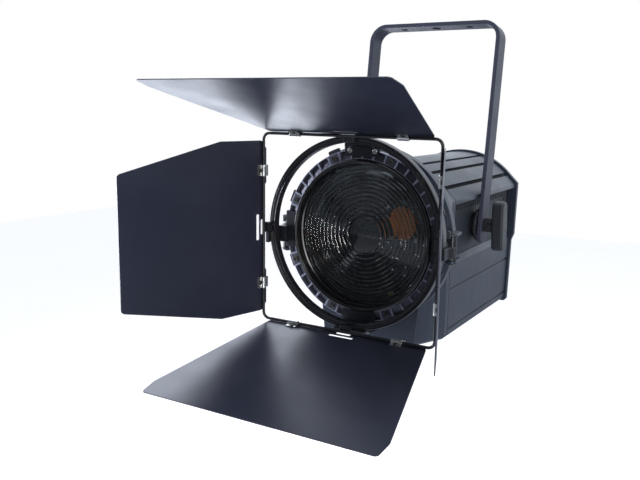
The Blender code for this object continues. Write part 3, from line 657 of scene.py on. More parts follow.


# each edge colour below paints lighter edges: partly rubbed wear, partly a painted highlight
MATERIALS = {
    "slate": surface("slate_powder_coat", (0.016, 0.023, 0.036), 0.36, grain=1500.0,
                     relief=0.000018, mottle=0.12, edge_wear_and_highlight=(0.15, 0.18, 0.22), specular=0.42),
    "panel": surface("panel_powder_coat", (0.014, 0.017, 0.023), 0.55, grain=1500.0,
                     relief=0.000022, mottle=0.12, edge_wear_and_highlight=(0.08, 0.09, 0.11), specular=0.3),
    "yoke": surface("yoke_powder_coat", (0.038, 0.042, 0.062), 0.44, grain=1500.0,
                    relief=0.000018, mottle=0.1, edge_wear_and_highlight=(0.16, 0.17, 0.2), specular=0.16),
    "leaf": surface("leaf_black_paint", (0.021, 0.024, 0.042), 0.35, grain=1900.0,
                    relief=0.00001, mottle=0.14, smudge=0.05, edge_wear_and_highlight=(0.1, 0.1, 0.12)),
    "satin_black": surface("satin_black_enamel", (0.011, 0.011, 0.014), 0.28, grain=900.0,
                           relief=0.000012, smudge=0.07, edge_wear_and_highlight=(0.09, 0.09, 0.1)),
    "cast_black": surface("cast_black_paint", (0.01, 0.011, 0.016), 0.38, grain=1100.0,
                          relief=0.00003, edge_wear_and_highlight=(0.1, 0.1, 0.13), specular=0.35),
    # the bezel's pale edge colour covers nearly all of its thin ribs: a painted highlight that makes them
    # bright
    "bezel": surface("bezel_dark_anodised", (0.27, 0.28, 0.35), 0.46, metallic=0.75, grain=1100.0,
                     relief=0.000015, smudge=0.08, edge_wear_and_highlight=(0.6, 0.62, 0.72)),
    "bezel_floor": surface("bezel_floor_anodised", (0.055, 0.056, 0.075), 0.5, metallic=0.5, grain=1100.0,
                           relief=0.00003, smudge=0.08),
    "gloss_black": surface("gloss_black_anodised", (0.008, 0.008, 0.009), 0.16, grain=700.0,
                           relief=0.000004, smudge=0.05, edge_wear_and_highlight=(0.06, 0.06, 0.06)),
    "plastic": surface("moulded_black_plastic", (0.022, 0.021, 0.022), 0.46, grain=1700.0,
                       relief=0.000035, mottle=0.08),
    "knob": surface("knob_moulded_plastic", (0.022, 0.024, 0.03), 0.42, grain=1700.0,
                    relief=0.000035, mottle=0.08, edge_wear_and_highlight=(0.12, 0.12, 0.14), specular=0.3),
    "rubber": surface("soft_black_rubber", (0.01, 0.01, 0.01), 0.62, grain=800.0,
                      relief=0.000045),
    "steel": surface("zinc_plated_steel", (0.6, 0.6, 0.58), 0.27, metallic=1.0, grain=500.0,
                     relief=0.000006, mottle=0.1, smudge=0.09, stretch=(1.0, 1.0, 14.0)),
    "dark_screw": surface("black_oxide_screw", (0.035, 0.033, 0.03), 0.34, metallic=0.6,
                          grain=900.0, relief=0.00001, edge_wear_and_highlight=(0.42, 0.4, 0.36)),
    "aluminium": surface("machined_aluminium", (0.55, 0.56, 0.58), 0.34, metallic=1.0, grain=420.0,
                         relief=0.000008, smudge=0.08, stretch=(1.0, 16.0, 1.0)),
    "brass": surface("turned_brass", (0.62, 0.44, 0.17), 0.3, metallic=1.0, grain=600.0,
                     relief=0.00001, stretch=(1.0, 22.0, 1.0)),
    "baffle": surface("baffle_flock_black", (0.003, 0.003, 0.003), 0.8, grain=1300.0,
                      relief=0.00006, mottle=0.2, specular=0.1),
    "blue_plastic": surface("blue_moulded_plastic", (0.02, 0.07, 0.2), 0.42, grain=1700.0,
                            relief=0.00003),
    "grey_plastic": surface("grey_moulded_plastic", (0.22, 0.23, 0.24), 0.44, grain=1700.0,
                            relief=0.00003),
    "lens": clear_glass("lens_glass"),
    "phosphor": phosphor("led_phosphor"),
    "screen": striped_screen("display_glass"),
}


# ---------------------------------------------------------------- small hardware
def hex_screw(radius, height):
    """A cap screw head with a hexagonal socket, its seat on local z = 0."""
    cap = slab("cap", [circle((0, 0), radius, 40), circle((0, 0), radius * 0.52, 6)], height * 0.75,
               radius * 0.1)
    floor = slab("floor", [circle((0, 0), radius * 0.97, 40)], height * 0.22, radius * 0.02)
    return merged("hex_screw", [
        (cap, move(0, 0, height * 0.625)),
        (floor, move(0, 0, height * 0.11)),
    ])


def cross_screw(radius, height):
    """A pan head with a cross recess, its seat on local z = 0."""
    arm = radius * 0.6
    half = radius * 0.13
    cross = [(half, arm), (half, half), (arm, half), (arm, -half), (half, -half), (half, -arm),
             (-half, -arm), (-half, -half), (-arm, -half), (-arm, half), (-half, half), (-half, arm)]
    top = slab("top", [circle((0, 0), radius * 0.88, 40), cross[::-1]], height * 0.42, radius * 0.08)
    base = lathe("base", fillet([(0.0, 0.0), (radius, 0.0), (radius, height * 0.38),
                                 (radius * 0.9, height * 0.6), (0.0, height * 0.6)],
                                radius * 0.12, 3, closed=False), 40, closed=False)
    base.transform(spin(90, "X"))
    return merged("cross_screw", [
        base,
        (top, move(0, 0, height * 0.8)),
    ])


def knurled_barrel(radius, length, flutes=28):
    """A fluted barrel along local z, from z = 0, with chamfered ends."""
    outline = []
    for index in range(flutes):
        start = 360.0 * index / flutes
        outline += arc((0, 0), radius, start, start + 6.5, 1)
        outline += arc((0, 0), radius * 0.93, start + 8.5, start + 10.8, 1)
    mesh = slab("barrel", [outline], length, 0.0004)
    mesh.transform(move(0, 0, length / 2))
    return mesh


# ---------------------------------------------------------------- yoke and pivots
def yoke_path():
    """(x, z, width) stations of the bent bar's mid-line, from the left foot to the right one."""
    half = YOKE_HALF_WIDTH - YOKE_THICKNESS / 2
    foot_r = 0.008
    foot = []
    for step in range(7):
        angle = math.radians(90.0 * step / 6)
        rise = foot_r * (1.0 - math.cos(angle))
        foot.append((half, rise - YOKE_FOOT, YOKE_BAR - 2 * foot_r * (1.0 - math.sin(angle))))
    centre = (YOKE_HALF_WIDTH - YOKE_CORNER, YOKE_LENGTH - YOKE_CORNER)
    bend = [(x, z, YOKE_BAR) for x, z in
            arc(centre, YOKE_CORNER - YOKE_THICKNESS / 2, 0.0, 90.0, 14)]
    right = foot + bend
    return [(-x, z, width) for x, z, width in right] + right[::-1]


def flat_bar(name, stations, thickness, edge):
    """A flat bar bent along (x, z, width) stations; its width runs along Y."""
    def build(bm):
        rings = []
        last = len(stations) - 1
        for index, (x, z, width) in enumerate(stations):
            before = stations[max(index - 1, 0)]
            after = stations[min(index + 1, last)]
            along = Vector((after[0] - before[0], after[1] - before[1])).normalized()
            outline = fillet(rectangle(-thickness / 2, -width / 2, thickness / 2, width / 2), edge, 3)
            rings.append([bm.verts.new((x - along.y * u, v, z + along.x * u)) for u, v in outline])
        bridge(bm, rings)
        cap_ends(bm, rings)
    return mesh_from(name, build)


def chamfered_cutter(radius, thickness, chamfer=0.0006):
    """Cutter along Y for a hole through a plate of that thickness, with both rims chamfered."""
    half = thickness / 2
    over = 0.002
    return lathe("cutter", [
        (0.0, -half - over), (radius + chamfer + over, -half - over), (radius, -half + chamfer),
        (radius, half - chamfer), (radius + chamfer + over, half + over), (0.0, half + over),
    ], 48, closed=False)


def make_yoke():
    """Bent bar with its hanging holes and the two stud holes."""
    bar = flat_bar("yoke_bracket", yoke_path(), YOKE_THICKNESS, 0.0012)
    upright = spin(90, "X")
    middle = YOKE_LENGTH - YOKE_THICKNESS / 2
    cutters = []
    for x, radius in YOKE_HOLES:
        cutter = chamfered_cutter(radius, YOKE_THICKNESS)
        cutter.transform(move(x, 0, middle) @ upright)
        cutters.append(cutter)
    across = spin(-90, "Z")
    for sign in (-1, 1):
        cutter = chamfered_cutter(STUD_R + GAP, YOKE_THICKNESS, 0.0003)
        cutter.transform(move(sign * (YOKE_HALF_WIDTH - YOKE_THICKNESS / 2), 0, 0) @ across)
        cutters.append(cutter)
    piece("yoke_bar", cut(bar, cutters), "yoke", YOKE, "yoke", ["yoke_bracket"], 30.0)


def make_pivot(side, sign):
    """Friction disc and paddle knob; local x points outwards."""
    outward = Matrix.Translation(PIVOT) @ Matrix.Rotation(0.0 if sign > 0 else math.pi, 4, "Z")
    along_x = outward @ spin(-90, "Z")
    inner_face = YOKE_HALF_WIDTH - YOKE_THICKNESS
    disc = fillet([
        (0.024, inner_face - GAP), (0.024, inner_face - 0.0045), (0.0185, inner_face - 0.0062),
        (0.018, RECESS_X + GAP), (STUD_R + GAP, RECESS_X + GAP), (STUD_R + GAP, inner_face - GAP),
    ], 0.0009, 4)
    piece("friction_pad_" + side, lathe("disc", disc, 96), "satin_black", along_x,
          "housing", ["friction_disc_" + side])
    make_knob(side, outward)


def make_knob(side, outward):
    """Rounded paddle on a fluted hub, with a round cap over its screw."""
    body = "knob_%s_body" % side
    tilt = outward @ spin(KNOB_TILT, "X")
    hub_start = YOKE_HALF_WIDTH + GAP
    outline = fillet([
        (-KNOB_END, -KNOB_LENGTH), (KNOB_END, -KNOB_LENGTH), (KNOB_WAIST, 0.0),
        (KNOB_END, KNOB_LENGTH), (-KNOB_END, KNOB_LENGTH), (-KNOB_WAIST, 0.0),
    ], 0.0095, 8)
    paddle = slab("paddle", [outline], 0.017, 0.0034, 4)
    paddle.transform(move(KNOB_X, 0, 0) @ SIDE)
    dish = lathe("dish", [(0.0, 0.1342), (0.0068, 0.1342), (0.0074, 0.137), (0.0, 0.137)], 48,
                 closed=False)
    dish.transform(spin(-90, "Z"))
    piece("knob_%s_paddle" % side, cut(paddle, [dish]), "knob", tilt, body,
          ["knob_" + side])
    hub = knurled_barrel(0.01, 0.1182 - hub_start, 24)
    hub.transform(move(hub_start, 0, 0) @ spin(90, "Y"))
    bore = rod("bore", STUD_R + GAP, (hub_start - 0.01, 0, 0), (STUD_END + 0.0007, 0, 0), 32)
    piece("knob_%s_hub" % side, cut(hub, [bore]), "satin_black", outward, body)
    cap = lathe("cap", fillet([(0.0, 0.1343), (0.0064, 0.1343), (0.0064, 0.1349), (0.0, 0.1353)],
                              0.0003, 3, closed=False), 48, closed=False)
    cap.transform(spin(-90, "Z"))
    piece("knob_%s_cap" % side, cap, "plastic", outward, body)


# ---------------------------------------------------------------- housing
def body_outline(grow=0.0, grow_base=None):
    """The housing's outer outline without its side recess, grown outwards by an offset."""
    base_z = BASE_Z - (grow if grow_base is None else grow_base)
    half = arc((0, ARCH_CENTRE_Z), ARCH_R + grow, 90.0, 90.0 - ARCH_HALF_ANGLE, 18)
    half += [
        (SHOULDER_X + grow, SHOULDER_Z + grow / 2),
        (SHOULDER_X + grow, LEDGE_TOP_Z - grow / 2),
        (BASE_X + grow, LEDGE_Z - 0.004),
        (BASE_X + grow, base_z + 0.004),
        (BASE_X + grow - 0.004, base_z),
    ]
    return mirrored(half)


def roof_outline():
    """Arched roof with grooves, shoulders and ridges."""
    outer = []
    angle = 0.0
    half_groove = math.degrees(ROOF_GROOVE_WIDTH / 2 / ARCH_R)
    floor = ARCH_R - ROOF_GROOVE_DEPTH
    for groove in ROOF_GROOVES:
        outer += arc((0, ARCH_CENTRE_Z), ARCH_R, 90.0 - angle, 90.0 - groove + half_groove, 8)
        outer += arc((0, ARCH_CENTRE_Z), floor, 90.0 - groove + half_groove,
                     90.0 - groove - half_groove, 2)
        angle = groove + half_groove
    outer += arc((0, ARCH_CENTRE_Z), ARCH_R, 90.0 - angle, 90.0 - ARCH_HALF_ANGLE, 3)
    outer += [(SHOULDER_X, SHOULDER_Z), (SHOULDER_X, RIDGE_Z)]
    step = [(RECESS_X - PANEL_THICKNESS, RIDGE_Z), (RECESS_X - PANEL_THICKNESS, SHOULDER_Z)]
    inner = arc((0, ARCH_CENTRE_Z), ARCH_R - WALL, 90.0 - ARCH_HALF_ANGLE, 90.0, 18)
    right = outer[1:] + step + inner[:-1]
    left = [(-x, y) for x, y in reversed(right)]
    return fillet(right + [inner[-1]] + left + [outer[0]], 0.0005)


def painted_shade_groove_loops():
    """Thin near-black strips of painted shade on the floors of the roof's grooves, one outline each."""
    half = math.degrees(ROOF_GROOVE_WIDTH / 2 / ARCH_R) - 0.12
    floor = ARCH_R - ROOF_GROOVE_DEPTH
    loops = []
    for groove in ROOF_GROOVES:
        for middle in (90.0 - groove, 90.0 + groove):
            loops.append(arc((0, ARCH_CENTRE_Z), floor + 0.0001, middle + half, middle - half, 4)
                         + arc((0, ARCH_CENTRE_Z), floor + 0.0009, middle - half, middle + half, 4))
    return loops


def tray_outline():
    """Lower tray: ledges, grooved sides and base."""
    groove = GROOVE_WIDTH / 2
    outer = [(RECESS_X, LEDGE_TOP_Z - GAP), (BASE_X, LEDGE_Z)]
    for level in SIDE_GROOVE_Z:
        outer += [(BASE_X, level + groove), (BASE_X - GROOVE_DEPTH, level + groove)]
        outer += [(BASE_X - GROOVE_DEPTH, level - groove), (BASE_X, level - groove)]
    outer += [(BASE_X, BASE_Z + 0.004), (BASE_X - 0.004, BASE_Z)]
    inner = [
        (BASE_X - WALL, BASE_Z + WALL),
        (BASE_X - WALL, LEDGE_Z - 0.002),
        (RECESS_X - WALL, LEDGE_TOP_Z - GAP),
    ]
    right = outer + [(-x, y) for x, y in reversed(outer)]
    return fillet(right + [(-x, y) for x, y in reversed(inner)] + inner, 0.0005)


def section_piece(name, loops, front_y, back_y, material, replaces=(), body="housing",
                  frame_matrix=None, edge=0.0004, sharp=38.0):
    """A piece with a constant cross-section between two stations along the lens axis."""
    middle = move(0, (front_y + back_y) / 2, 0)
    base = HEAD if frame_matrix is None else frame_matrix
    return piece(name, slab(name, loops, back_y - front_y, edge), material,
                 base @ middle @ SECTION, body, replaces, sharp)


def seam_shift(z):
    """How far the leaning seam before the rear hood lies behind the shells' nominal end."""
    return SEAM_LOW + SEAM_LEAN * (z - BASE_Z)


def lean_back(mesh):
    """Move the rear end of a shell in section coordinates to the leaning seam."""
    for vert in mesh.vertices:
        if vert.co.z < 0.0:
            vert.co.z -= seam_shift(vert.co.y)


def side_panel_loops():
    """Recessed side panel in the side plane: a row of vents, three holes and the stud's hole."""
    front = SHELL_FRONT_Y + GAP
    back = SHELL_BACK_Y - GAP
    loops = [rectangle(front, LEDGE_TOP_Z, back, RIDGE_Z - GAP)]
    for index in range(VENT_COUNT):
        start = front + 0.012 + index * VENT_PITCH
        vent = rectangle(start, VENT_LOW_Z, start + VENT_WIDTH, VENT_HIGH_Z)
        loops.append(fillet(vent, 0.0015, 3))
    for level in (0.018, 0.005, -0.008):
        loops.append(circle((back - 0.014, level), 0.0025, 20))
    loops.append(circle((PIVOT_Y, PIVOT_Z), STUD_R + GAP, 32))
    return loops


def make_shells():
    """Roof, tray, near-black strips of painted shade in the roof's grooves and the two vented side panels.
    """
    front = SHELL_FRONT_Y + GAP
    back = SHELL_BACK_Y - GAP
    roof = section_piece("roof_extrusion", [roof_outline()], front, back, "slate",
                         ["upper_shell"])
    tray = section_piece("tray_extrusion", [tray_outline()], front, back, "slate",
                         ["lower_shell"])
    lean_back(roof.data)
    lean_back(tray.data)
    # near-black strips on the groove floors are painted shade
    section_piece("roof_groove_painted_shade", painted_shade_groove_loops(), front + 0.001, back - 0.001, "baffle",
                  edge=0.0001)
    for side, sign in (("left", -1), ("right", 1)):
        place = HEAD @ move(sign * (RECESS_X - PANEL_THICKNESS / 2), 0, 0) @ SIDE
        panel = slab("panel", side_panel_loops(), PANEL_THICKNESS - GAP)
        for vert in panel.vertices:
            if vert.co.x > back - 0.002:
                vert.co.x += seam_shift(vert.co.y)
        piece("vented_panel_" + side, panel, "panel", place, "housing",
              ["side_panel_" + side])


def make_front_casting():
    """Round drum that narrows into the box section, hollow behind the lens seat."""
    seat_back = FLANGE_Y + LENS_THICKNESS + 3 * GAP + 0.0025
    end = SHELL_FRONT_Y - 0.001
    end_r = DRUM_WAIST_R - 0.02
    rim_back = DRUM_BACK_Y - 0.003
    hollow_r = DRUM_RIM_R - DRUM_WALL
    drum = lathe("drum", fillet([
        (end_r, end), (DRUM_WAIST_R, DRUM_BACK_Y), (DRUM_RIM_R, rim_back),
        (DRUM_RIM_R, DRUM_RIM_Y), (DRUM_R, DRUM_RIM_Y - 0.0015),
        (DRUM_R, FLANGE_Y + 0.001), (DRUM_R - 0.001, FLANGE_Y),
        (LENS_R + GAP, FLANGE_Y), (LENS_R + GAP, seat_back), (BORE_R, seat_back),
        (BORE_R, seat_back + WALL), (hollow_r, DRUM_RIM_Y + 0.002), (hollow_r, rim_back - 0.002),
        (DRUM_WAIST_R - DRUM_WALL, DRUM_BACK_Y), (end_r - DRUM_WALL, end),
    ], 0.0009, 3), 160)
    drum.transform(Matrix.Translation(LENS_CENTRE - DOOR_CENTRE))
    box = lofted("box", [
        (BOX_FRONT_Y, body_outline(-BOX_CHAMFER, 0.0)),
        (BOX_FACET_Y, body_outline(-BOX_FACET, 0.0)),
        (BOX_FLARE_Y, body_outline()), (SHELL_FRONT_Y, body_outline()),
    ])
    for vert in box.vertices:
        if vert.co.y < BOX_FACET_Y + 0.001:
            vert.co.x += math.copysign(BOX_SPREAD * (BOX_WAIST_Z - max(vert.co.z, BASE_Z)), vert.co.x)
    box = rounded(box, 0.0014, 3, 9.0)
    inside = body_outline(-WALL)
    cavity = lofted("cavity", [
        (BOX_FRONT_Y + WALL, body_outline(-BOX_CHAMFER - WALL, -2 * WALL)),
        (BOX_FLARE_Y + WALL, inside), (SHELL_FRONT_Y + 0.01, inside),
    ])
    bore = rod("bore", BORE_R, (0, seat_back + 0.001, 0), (0, DRUM_BACK_Y + 0.01, 0), 160)
    bore.transform(Matrix.Translation(LENS_CENTRE - DOOR_CENTRE))
    casting = cut(cut(drum, [box], "UNION"), [cavity, bore])
    piece("front_housing_casting", casting, "slate", HEAD, "housing",
          ["front_casting"], 24.0)
    sleeve = lathe("sleeve", [
        (0.0925, seat_back + 0.002), (0.0835, 0.121), (0.0825, 0.121), (0.0915, seat_back + 0.002),
    ], 128)
    piece("light_baffle", sleeve, "baffle", OPTICS, "housing")


def make_rear_cap():
    """Hooded frame around the rear panel, deeper at the top than at the base."""
    rim = body_outline(0.0035)
    outer = lofted("cap", [(SHELL_BACK_Y, rim), (CAP_BACK_Y, rim)])
    for vert in outer.vertices:
        if vert.co.y > SHELL_BACK_Y + 0.001:
            vert.co.y -= CAP_TAPER * (ROOF_TOP_Z - vert.co.z) / (ROOF_TOP_Z - BASE_Z)
        else:
            vert.co.y += seam_shift(vert.co.z)
    inside = body_outline(-0.0055)
    opening = lofted("opening", [(SHELL_BACK_Y - 0.01, inside), (CAP_BACK_Y + 0.01, inside)])
    cap = rounded(cut(outer, [opening]), 0.0012, 3, 30.0)
    walls = []
    for sign in (-1, 1):
        inner_x, outer_x = sorted((sign * 0.0845, sign * 0.093))
        wall = lofted("wall", [
            (station, rectangle(inner_x, LEDGE_TOP_Z - 0.004, outer_x, RIDGE_Z + 0.004))
            for station in (SHELL_BACK_Y, SHELL_BACK_Y + 0.003)
        ])
        for vert in wall.vertices:
            vert.co.y += seam_shift(vert.co.z)
        walls.append(wall)
    hood = merged("hood", [cap] + walls)
    piece("rear_hood", hood, "slate", HEAD, "housing", ["rear_cap"], 24.0)


# ---------------------------------------------------------------- optics
def lug_outline():
    """Bezel outline with a square lug at each screw."""
    points = []
    half_lug = 4.6
    step = 360.0 / LUG_COUNT
    for index in range(LUG_COUNT):
        middle = step * (index + 0.5)
        points += arc((0, 0), BEZEL_R, middle - step + half_lug, middle - half_lug, 22)
        points += arc((0, 0), LUG_R, middle - half_lug + 0.4, middle + half_lug - 0.4, 4)
    return fillet(points, 0.0012)


def cell_outline(index, inset=0.0):
    """One open cell of the bezel, as (x, y) points."""
    pitch = 360.0 / CELL_COUNT
    near = index * pitch + RIB_HALF_ANGLE + inset
    far = (index + 1) * pitch - RIB_HALF_ANGLE - inset
    inner = arc((0, 0), BEZEL_INNER_R + 0.001, near, far, 4)
    outer = arc((0, 0), BEZEL_R - 0.0009, far, near, 4)
    return fillet(inner + outer, 0.0004)


def make_bezel():
    """Thin ribs over a sloping floor, a lugged ring behind, and a screwed pad in every fifth cell."""
    back_start = FLANGE_Y - GAP - 0.0022
    grid = [circle((0, 0), BEZEL_R, 240), circle((0, 0), BEZEL_INNER_R, 160)]
    grid += [cell_outline(index) for index in range(CELL_COUNT)]
    section_piece("bezel_cell_ring", grid, BEZEL_FRONT_Y, back_start - 0.00002, "bezel",
                  ["bezel_ring"], frame_matrix=OPTICS, edge=0.00025)
    floor = [
        (BEZEL_INNER_R + 0.0004, BEZEL_FRONT_Y + 0.001), (BEZEL_INNER_R + 0.0014, BEZEL_FRONT_Y + 0.0008),
        (BEZEL_R - 0.0012, back_start - 0.0008), (BEZEL_R - 0.0005, back_start - 0.0001),
        (BEZEL_INNER_R + 0.0004, back_start - 0.0001),
    ]
    piece("bezel_cell_floor", lathe("floor", floor, 240), "bezel_floor", OPTICS, "housing")
    ring = [lug_outline(), circle((0, 0), BEZEL_INNER_R, 160)]
    section_piece("bezel_back_ring", ring, back_start - 0.0004, FLANGE_Y - GAP, "cast_black",
                  frame_matrix=OPTICS, edge=0.0002)
    every = CELL_COUNT // LUG_COUNT
    pads = []
    screws = []
    head = cross_screw(0.0034, 0.0022)
    for index in range(every // 2, CELL_COUNT, every):
        pads.append(slab("pad", [cell_outline(index, 0.02)], PAD_THICKNESS, 0.0002))
        angle = math.radians((index + 0.5) * 360.0 / CELL_COUNT)
        radius = (BEZEL_INNER_R + BEZEL_R) / 2
        spot = (radius * math.cos(angle), radius * math.sin(angle), 0.0)
        screws.append(Matrix.Translation(spot) @ Matrix.Rotation(index * 1.7, 4, "Z"))
    pad_y = BEZEL_FRONT_Y + PAD_SINK
    piece("bezel_screw_pads", merged("pads", pads), "bezel_floor",
          OPTICS @ move(0, pad_y, 0) @ SECTION, "housing")
    add_screws("bezel_screws", head, screws, "dark_screw",
               OPTICS @ move(0, pad_y - PAD_THICKNESS / 2, 0) @ SECTION)


def lens_profile():
    """Flat back; a domed centre and convex grooves in front, finer and steeper outwards."""
    back = FLANGE_Y + GAP + LENS_THICKNESS
    crest = FLANGE_Y + GAP
    edge = LENS_R - 0.0026
    profile = [
        (0.0, back), (LENS_R - 0.0004, back), (LENS_R, back - 0.0004), (LENS_R, crest + 0.0008),
        (LENS_R - 0.0004, crest + 0.0002), (edge + 0.0002, crest + 0.0002),
    ]
    weights = [1.0 + 0.42 * step / (LENS_GROOVES - 1) for step in range(LENS_GROOVES)]
    unit = (edge - LENS_CENTRE_R) / sum(weights)
    outer = edge
    for weight in weights:
        pitch = unit * weight
        inner = outer - pitch
        slope = math.radians(LENS_SLOPE * (0.55 + 0.45 * outer / edge))
        depth = min(0.0034, pitch * math.tan(slope))
        face = [(outer - pitch * share, crest + depth * (1.0 - share) ** 1.25)
                for share in (0.0, 0.15, 0.32, 0.5, 0.7)]
        draft = pitch * LENS_DRAFT * (2.2 - 1.4 * outer / edge)
        crown = [(inner + draft + 0.001, crest + 0.00003), (inner + draft, crest),
                 (inner, crest + draft * 0.75)]
        profile += face + fillet([face[-1]] + crown, 0.0004, 4, closed=False)[1:]
        outer = inner
    for step in range(9):
        radius = (LENS_CENTRE_R - 0.0004) * (1.0 - step / 9)
        profile.append((radius, crest + 0.0018 * (radius / LENS_CENTRE_R) ** 2))
    profile.append((0.0, crest))
    return profile


def make_optics():
    """Lens and the ring that holds it."""
    back = FLANGE_Y - GAP
    retainer = fillet([
        (RETAINER_R, back), (RETAINER_R, 0.0228), (RETAINER_R - 0.0014, 0.0215),
        (RETAINER_INNER_R + 0.0026, 0.0215), (RETAINER_INNER_R + 0.002, 0.0222),
        (RETAINER_INNER_R + 0.001, 0.0222), (RETAINER_INNER_R, 0.0234),
        (RETAINER_INNER_R, back - 0.0024), (BORE_R, back - 0.0008), (BORE_R, back),
    ], 0.0005, 4)
    piece("lens_retaining_ring", lathe("ring", retainer, 192), "gloss_black", OPTICS,
          "housing", ["lens_retainer"])
    piece("stepped_lens", lathe("lens", lens_profile(), 192, closed=False), "lens",
          OPTICS, "housing", ["fresnel_lens"], 34.0)


# ---------------------------------------------------------------- barn-door holders
def hook_outline():
    """Hook over the ring: x is the distance from the door's axis, y is the station."""
    back = RING_DEPTH + GAP
    return fillet([
        (HOLDER_FOOT_R, 0.0195), (HOLDER_FOOT_R, back), (HOOK_R, back), (HOOK_R, -GAP),
        (LIP_R, -GAP), (LIP_R, LIP_Y), (HOOK_R + 0.0035, LIP_Y), (HOOK_R + 0.0035, 0.013),
        (HOLDER_R, 0.0165), (HOLDER_R, 0.0195),
    ], 0.0008)


def foot_outline():
    """Foot on the drum that carries the hinge ears."""
    return fillet([
        (0.112, 0.029), (0.118, 0.029), (0.12, 0.035), (0.118, 0.05), (0.112, 0.05),
    ], 0.0008)


def ear_outline():
    """Hinge ear seen from above: round about the pin and drawn back along the drum."""
    return fillet(arc(BARREL_XY, 0.007, -110.0, 40.0, 12) + [
        (0.127, 0.064), (0.122, 0.068), (0.113, 0.068), (0.113, 0.038),
    ], 0.0012)


def make_side_holder(side, turn_degrees, up, barrel_z, hook_height):
    """Hinged clamp: hook, foot, two ears, three fluted barrels on a pin, and a lug with its screw."""
    turn = spin(-turn_degrees, "Y")
    place = HEAD @ move(0, 0, HOLDER_Z) @ turn
    node = "holder_" + side
    blocks = merged("blocks", [
        slab("hook", [hook_outline()], hook_height, 0.0008),
        slab("foot", [foot_outline()], 0.034, 0.0008),
        block("bridge", (0.109, 0.014, -0.011), (0.123, BEZEL_FRONT_Y - GAP, 0.011), 0.0008),
    ])
    piece(node + "_clamp", blocks, "cast_black", place, "housing", [node])
    ear = slab("ear", [ear_outline()], 0.0034, 0.0006)
    ears = merged("ears", [
        (ear, move(0, 0, barrel_z + 0.017)),
        (ear, move(0, 0, barrel_z - 0.017)),
    ])
    piece(node + "_ears", ears, "slate", place, "housing")
    x, y = BARREL_XY
    barrel = knurled_barrel(0.0058, 0.0094)
    barrels = [(barrel, move(x, y, barrel_z - 0.0148 + index * 0.0101))
               for index in range(3)]
    piece(node + "_barrels", merged("barrels", barrels), "satin_black", place, "housing")
    pin = rod("pin", 0.0024, (x, y, barrel_z - 0.0195), (x, y, barrel_z + 0.0195), 24)
    cap = lathe("cap", fillet([(0.0, -0.0008), (0.0036, -0.0008), (0.0036, 0.0008), (0.0, 0.0012)],
                              0.0004, 3, closed=False), 32, closed=False)
    cap.transform(spin(90, "X"))
    hardware = merged("pin", [
        pin,
        (cap, move(x, y, barrel_z + 0.0193)),
        (cap, move(x, y, barrel_z - 0.0197)),
    ])
    piece(node + "_pin", hardware, "dark_screw", place, "housing")
    plate = fillet(rectangle(0.1125, -0.005, 0.1245, 0.005), 0.0022, 4)
    lug = slab("lug", [plate], 0.0034, 0.0006)
    across = move(0, 0.031, up * 0.0195) @ spin(90, "X")
    piece(node + "_lug", lug, "bezel_floor", place @ across, "housing")
    socket = move(0.1188, 0, 0.0016)
    piece(node + "_lug_screw", hex_screw(0.0027, 0.0012), "dark_screw",
          place @ across @ socket, "housing")


def make_bottom_holder():
    """Fixed clamp under the ring with two screws."""
    turn = spin(90.0, "Y")
    place = HEAD @ turn
    outline = fillet([
        (HOLDER_FOOT_R, HOLDER_BACK_Y), (HOLDER_FOOT_R, RING_DEPTH + GAP), (HOOK_R, RING_DEPTH + GAP),
        (HOOK_R, -GAP), (LIP_R, -GAP), (LIP_R, LIP_Y), (HOOK_R + 0.0035, LIP_Y),
        (HOOK_R + 0.0035, 0.015), (HOLDER_R, 0.02),
        (HOLDER_R, HOLDER_BACK_Y),
    ], 0.0009)
    piece("holder_bottom_clamp", slab("holder", [outline], 2 * HOLDER_HALF, 0.0009),
          "cast_black", place, "housing", ["holder_bottom"])
    head = hex_screw(0.004, 0.003)
    out = spin(90, "Y")
    screws = [move(HOLDER_R - 0.0002, 0.036, shift) @ out for shift in (-0.013, 0.013)]
    add_screws("holder_bottom_screws", head, screws, "dark_screw", place)


def base_plate_outline(half_width):
    """Plate over the bezel's cells, on the door's upper side."""
    return fillet([
        (-half_width, 0.1165), (PLATE_DRAFT - half_width, 0.0995),
        (half_width - PLATE_DRAFT, 0.0995), (half_width, 0.1165),
    ], 0.003, 5)


def make_base_plates():
    """Black plates under the left, right and bottom holders."""
    front = BEZEL_FRONT_Y - 0.001
    plate = slab("plate", [base_plate_outline(PLATE_HALF)], 0.004, 0.0006)
    plates = [(plate, spin(angle, "Z")) for angle in (90.0, 180.0, 270.0)]
    piece("holder_base_plates", merged("plates", plates), "cast_black",
          OPTICS @ move(0, front + 0.002, 0) @ SECTION, "housing")


def make_top_latch():
    """Screwed base plate on the bezel, and the sliding latch that closes over the ring."""
    front = BEZEL_FRONT_Y - 0.0014
    section_piece("latch_base_plate", [base_plate_outline(PLATE_HALF)], front, front + 0.004,
                  "cast_black", ["holder_top"], edge=0.0006)
    head = hex_screw(0.0034, 0.003)
    screws = [move(LATCH_SHIFT + x, 0.107, 0) for x in (-0.0182, 0.0182)]
    add_screws("latch_base_screws", head, screws, "steel",
               HEAD @ move(0, front, 0) @ SECTION)
    face = RING_DEPTH + GAP
    plate_back = front - GAP
    hook = fillet([
        (0.1118, plate_back), (0.1118, face + 0.006), (0.115, face), (HOOK_R + 0.0003, face),
        (HOOK_R + 0.0003, -GAP), (LIP_R, -GAP), (LIP_R, LIP_Y), (HOOK_R + 0.0045, LIP_Y),
        (HOOK_R + 0.0045, plate_back),
    ], 0.0008)
    place = HEAD @ move(LATCH_SHIFT, 0, 0) @ spin(-90, "Y")
    piece("latch_slider", slab("slider", [hook], LATCH_WIDTH, 0.0008), "cast_black", place,
          "ring_latch", ["top_latch"])


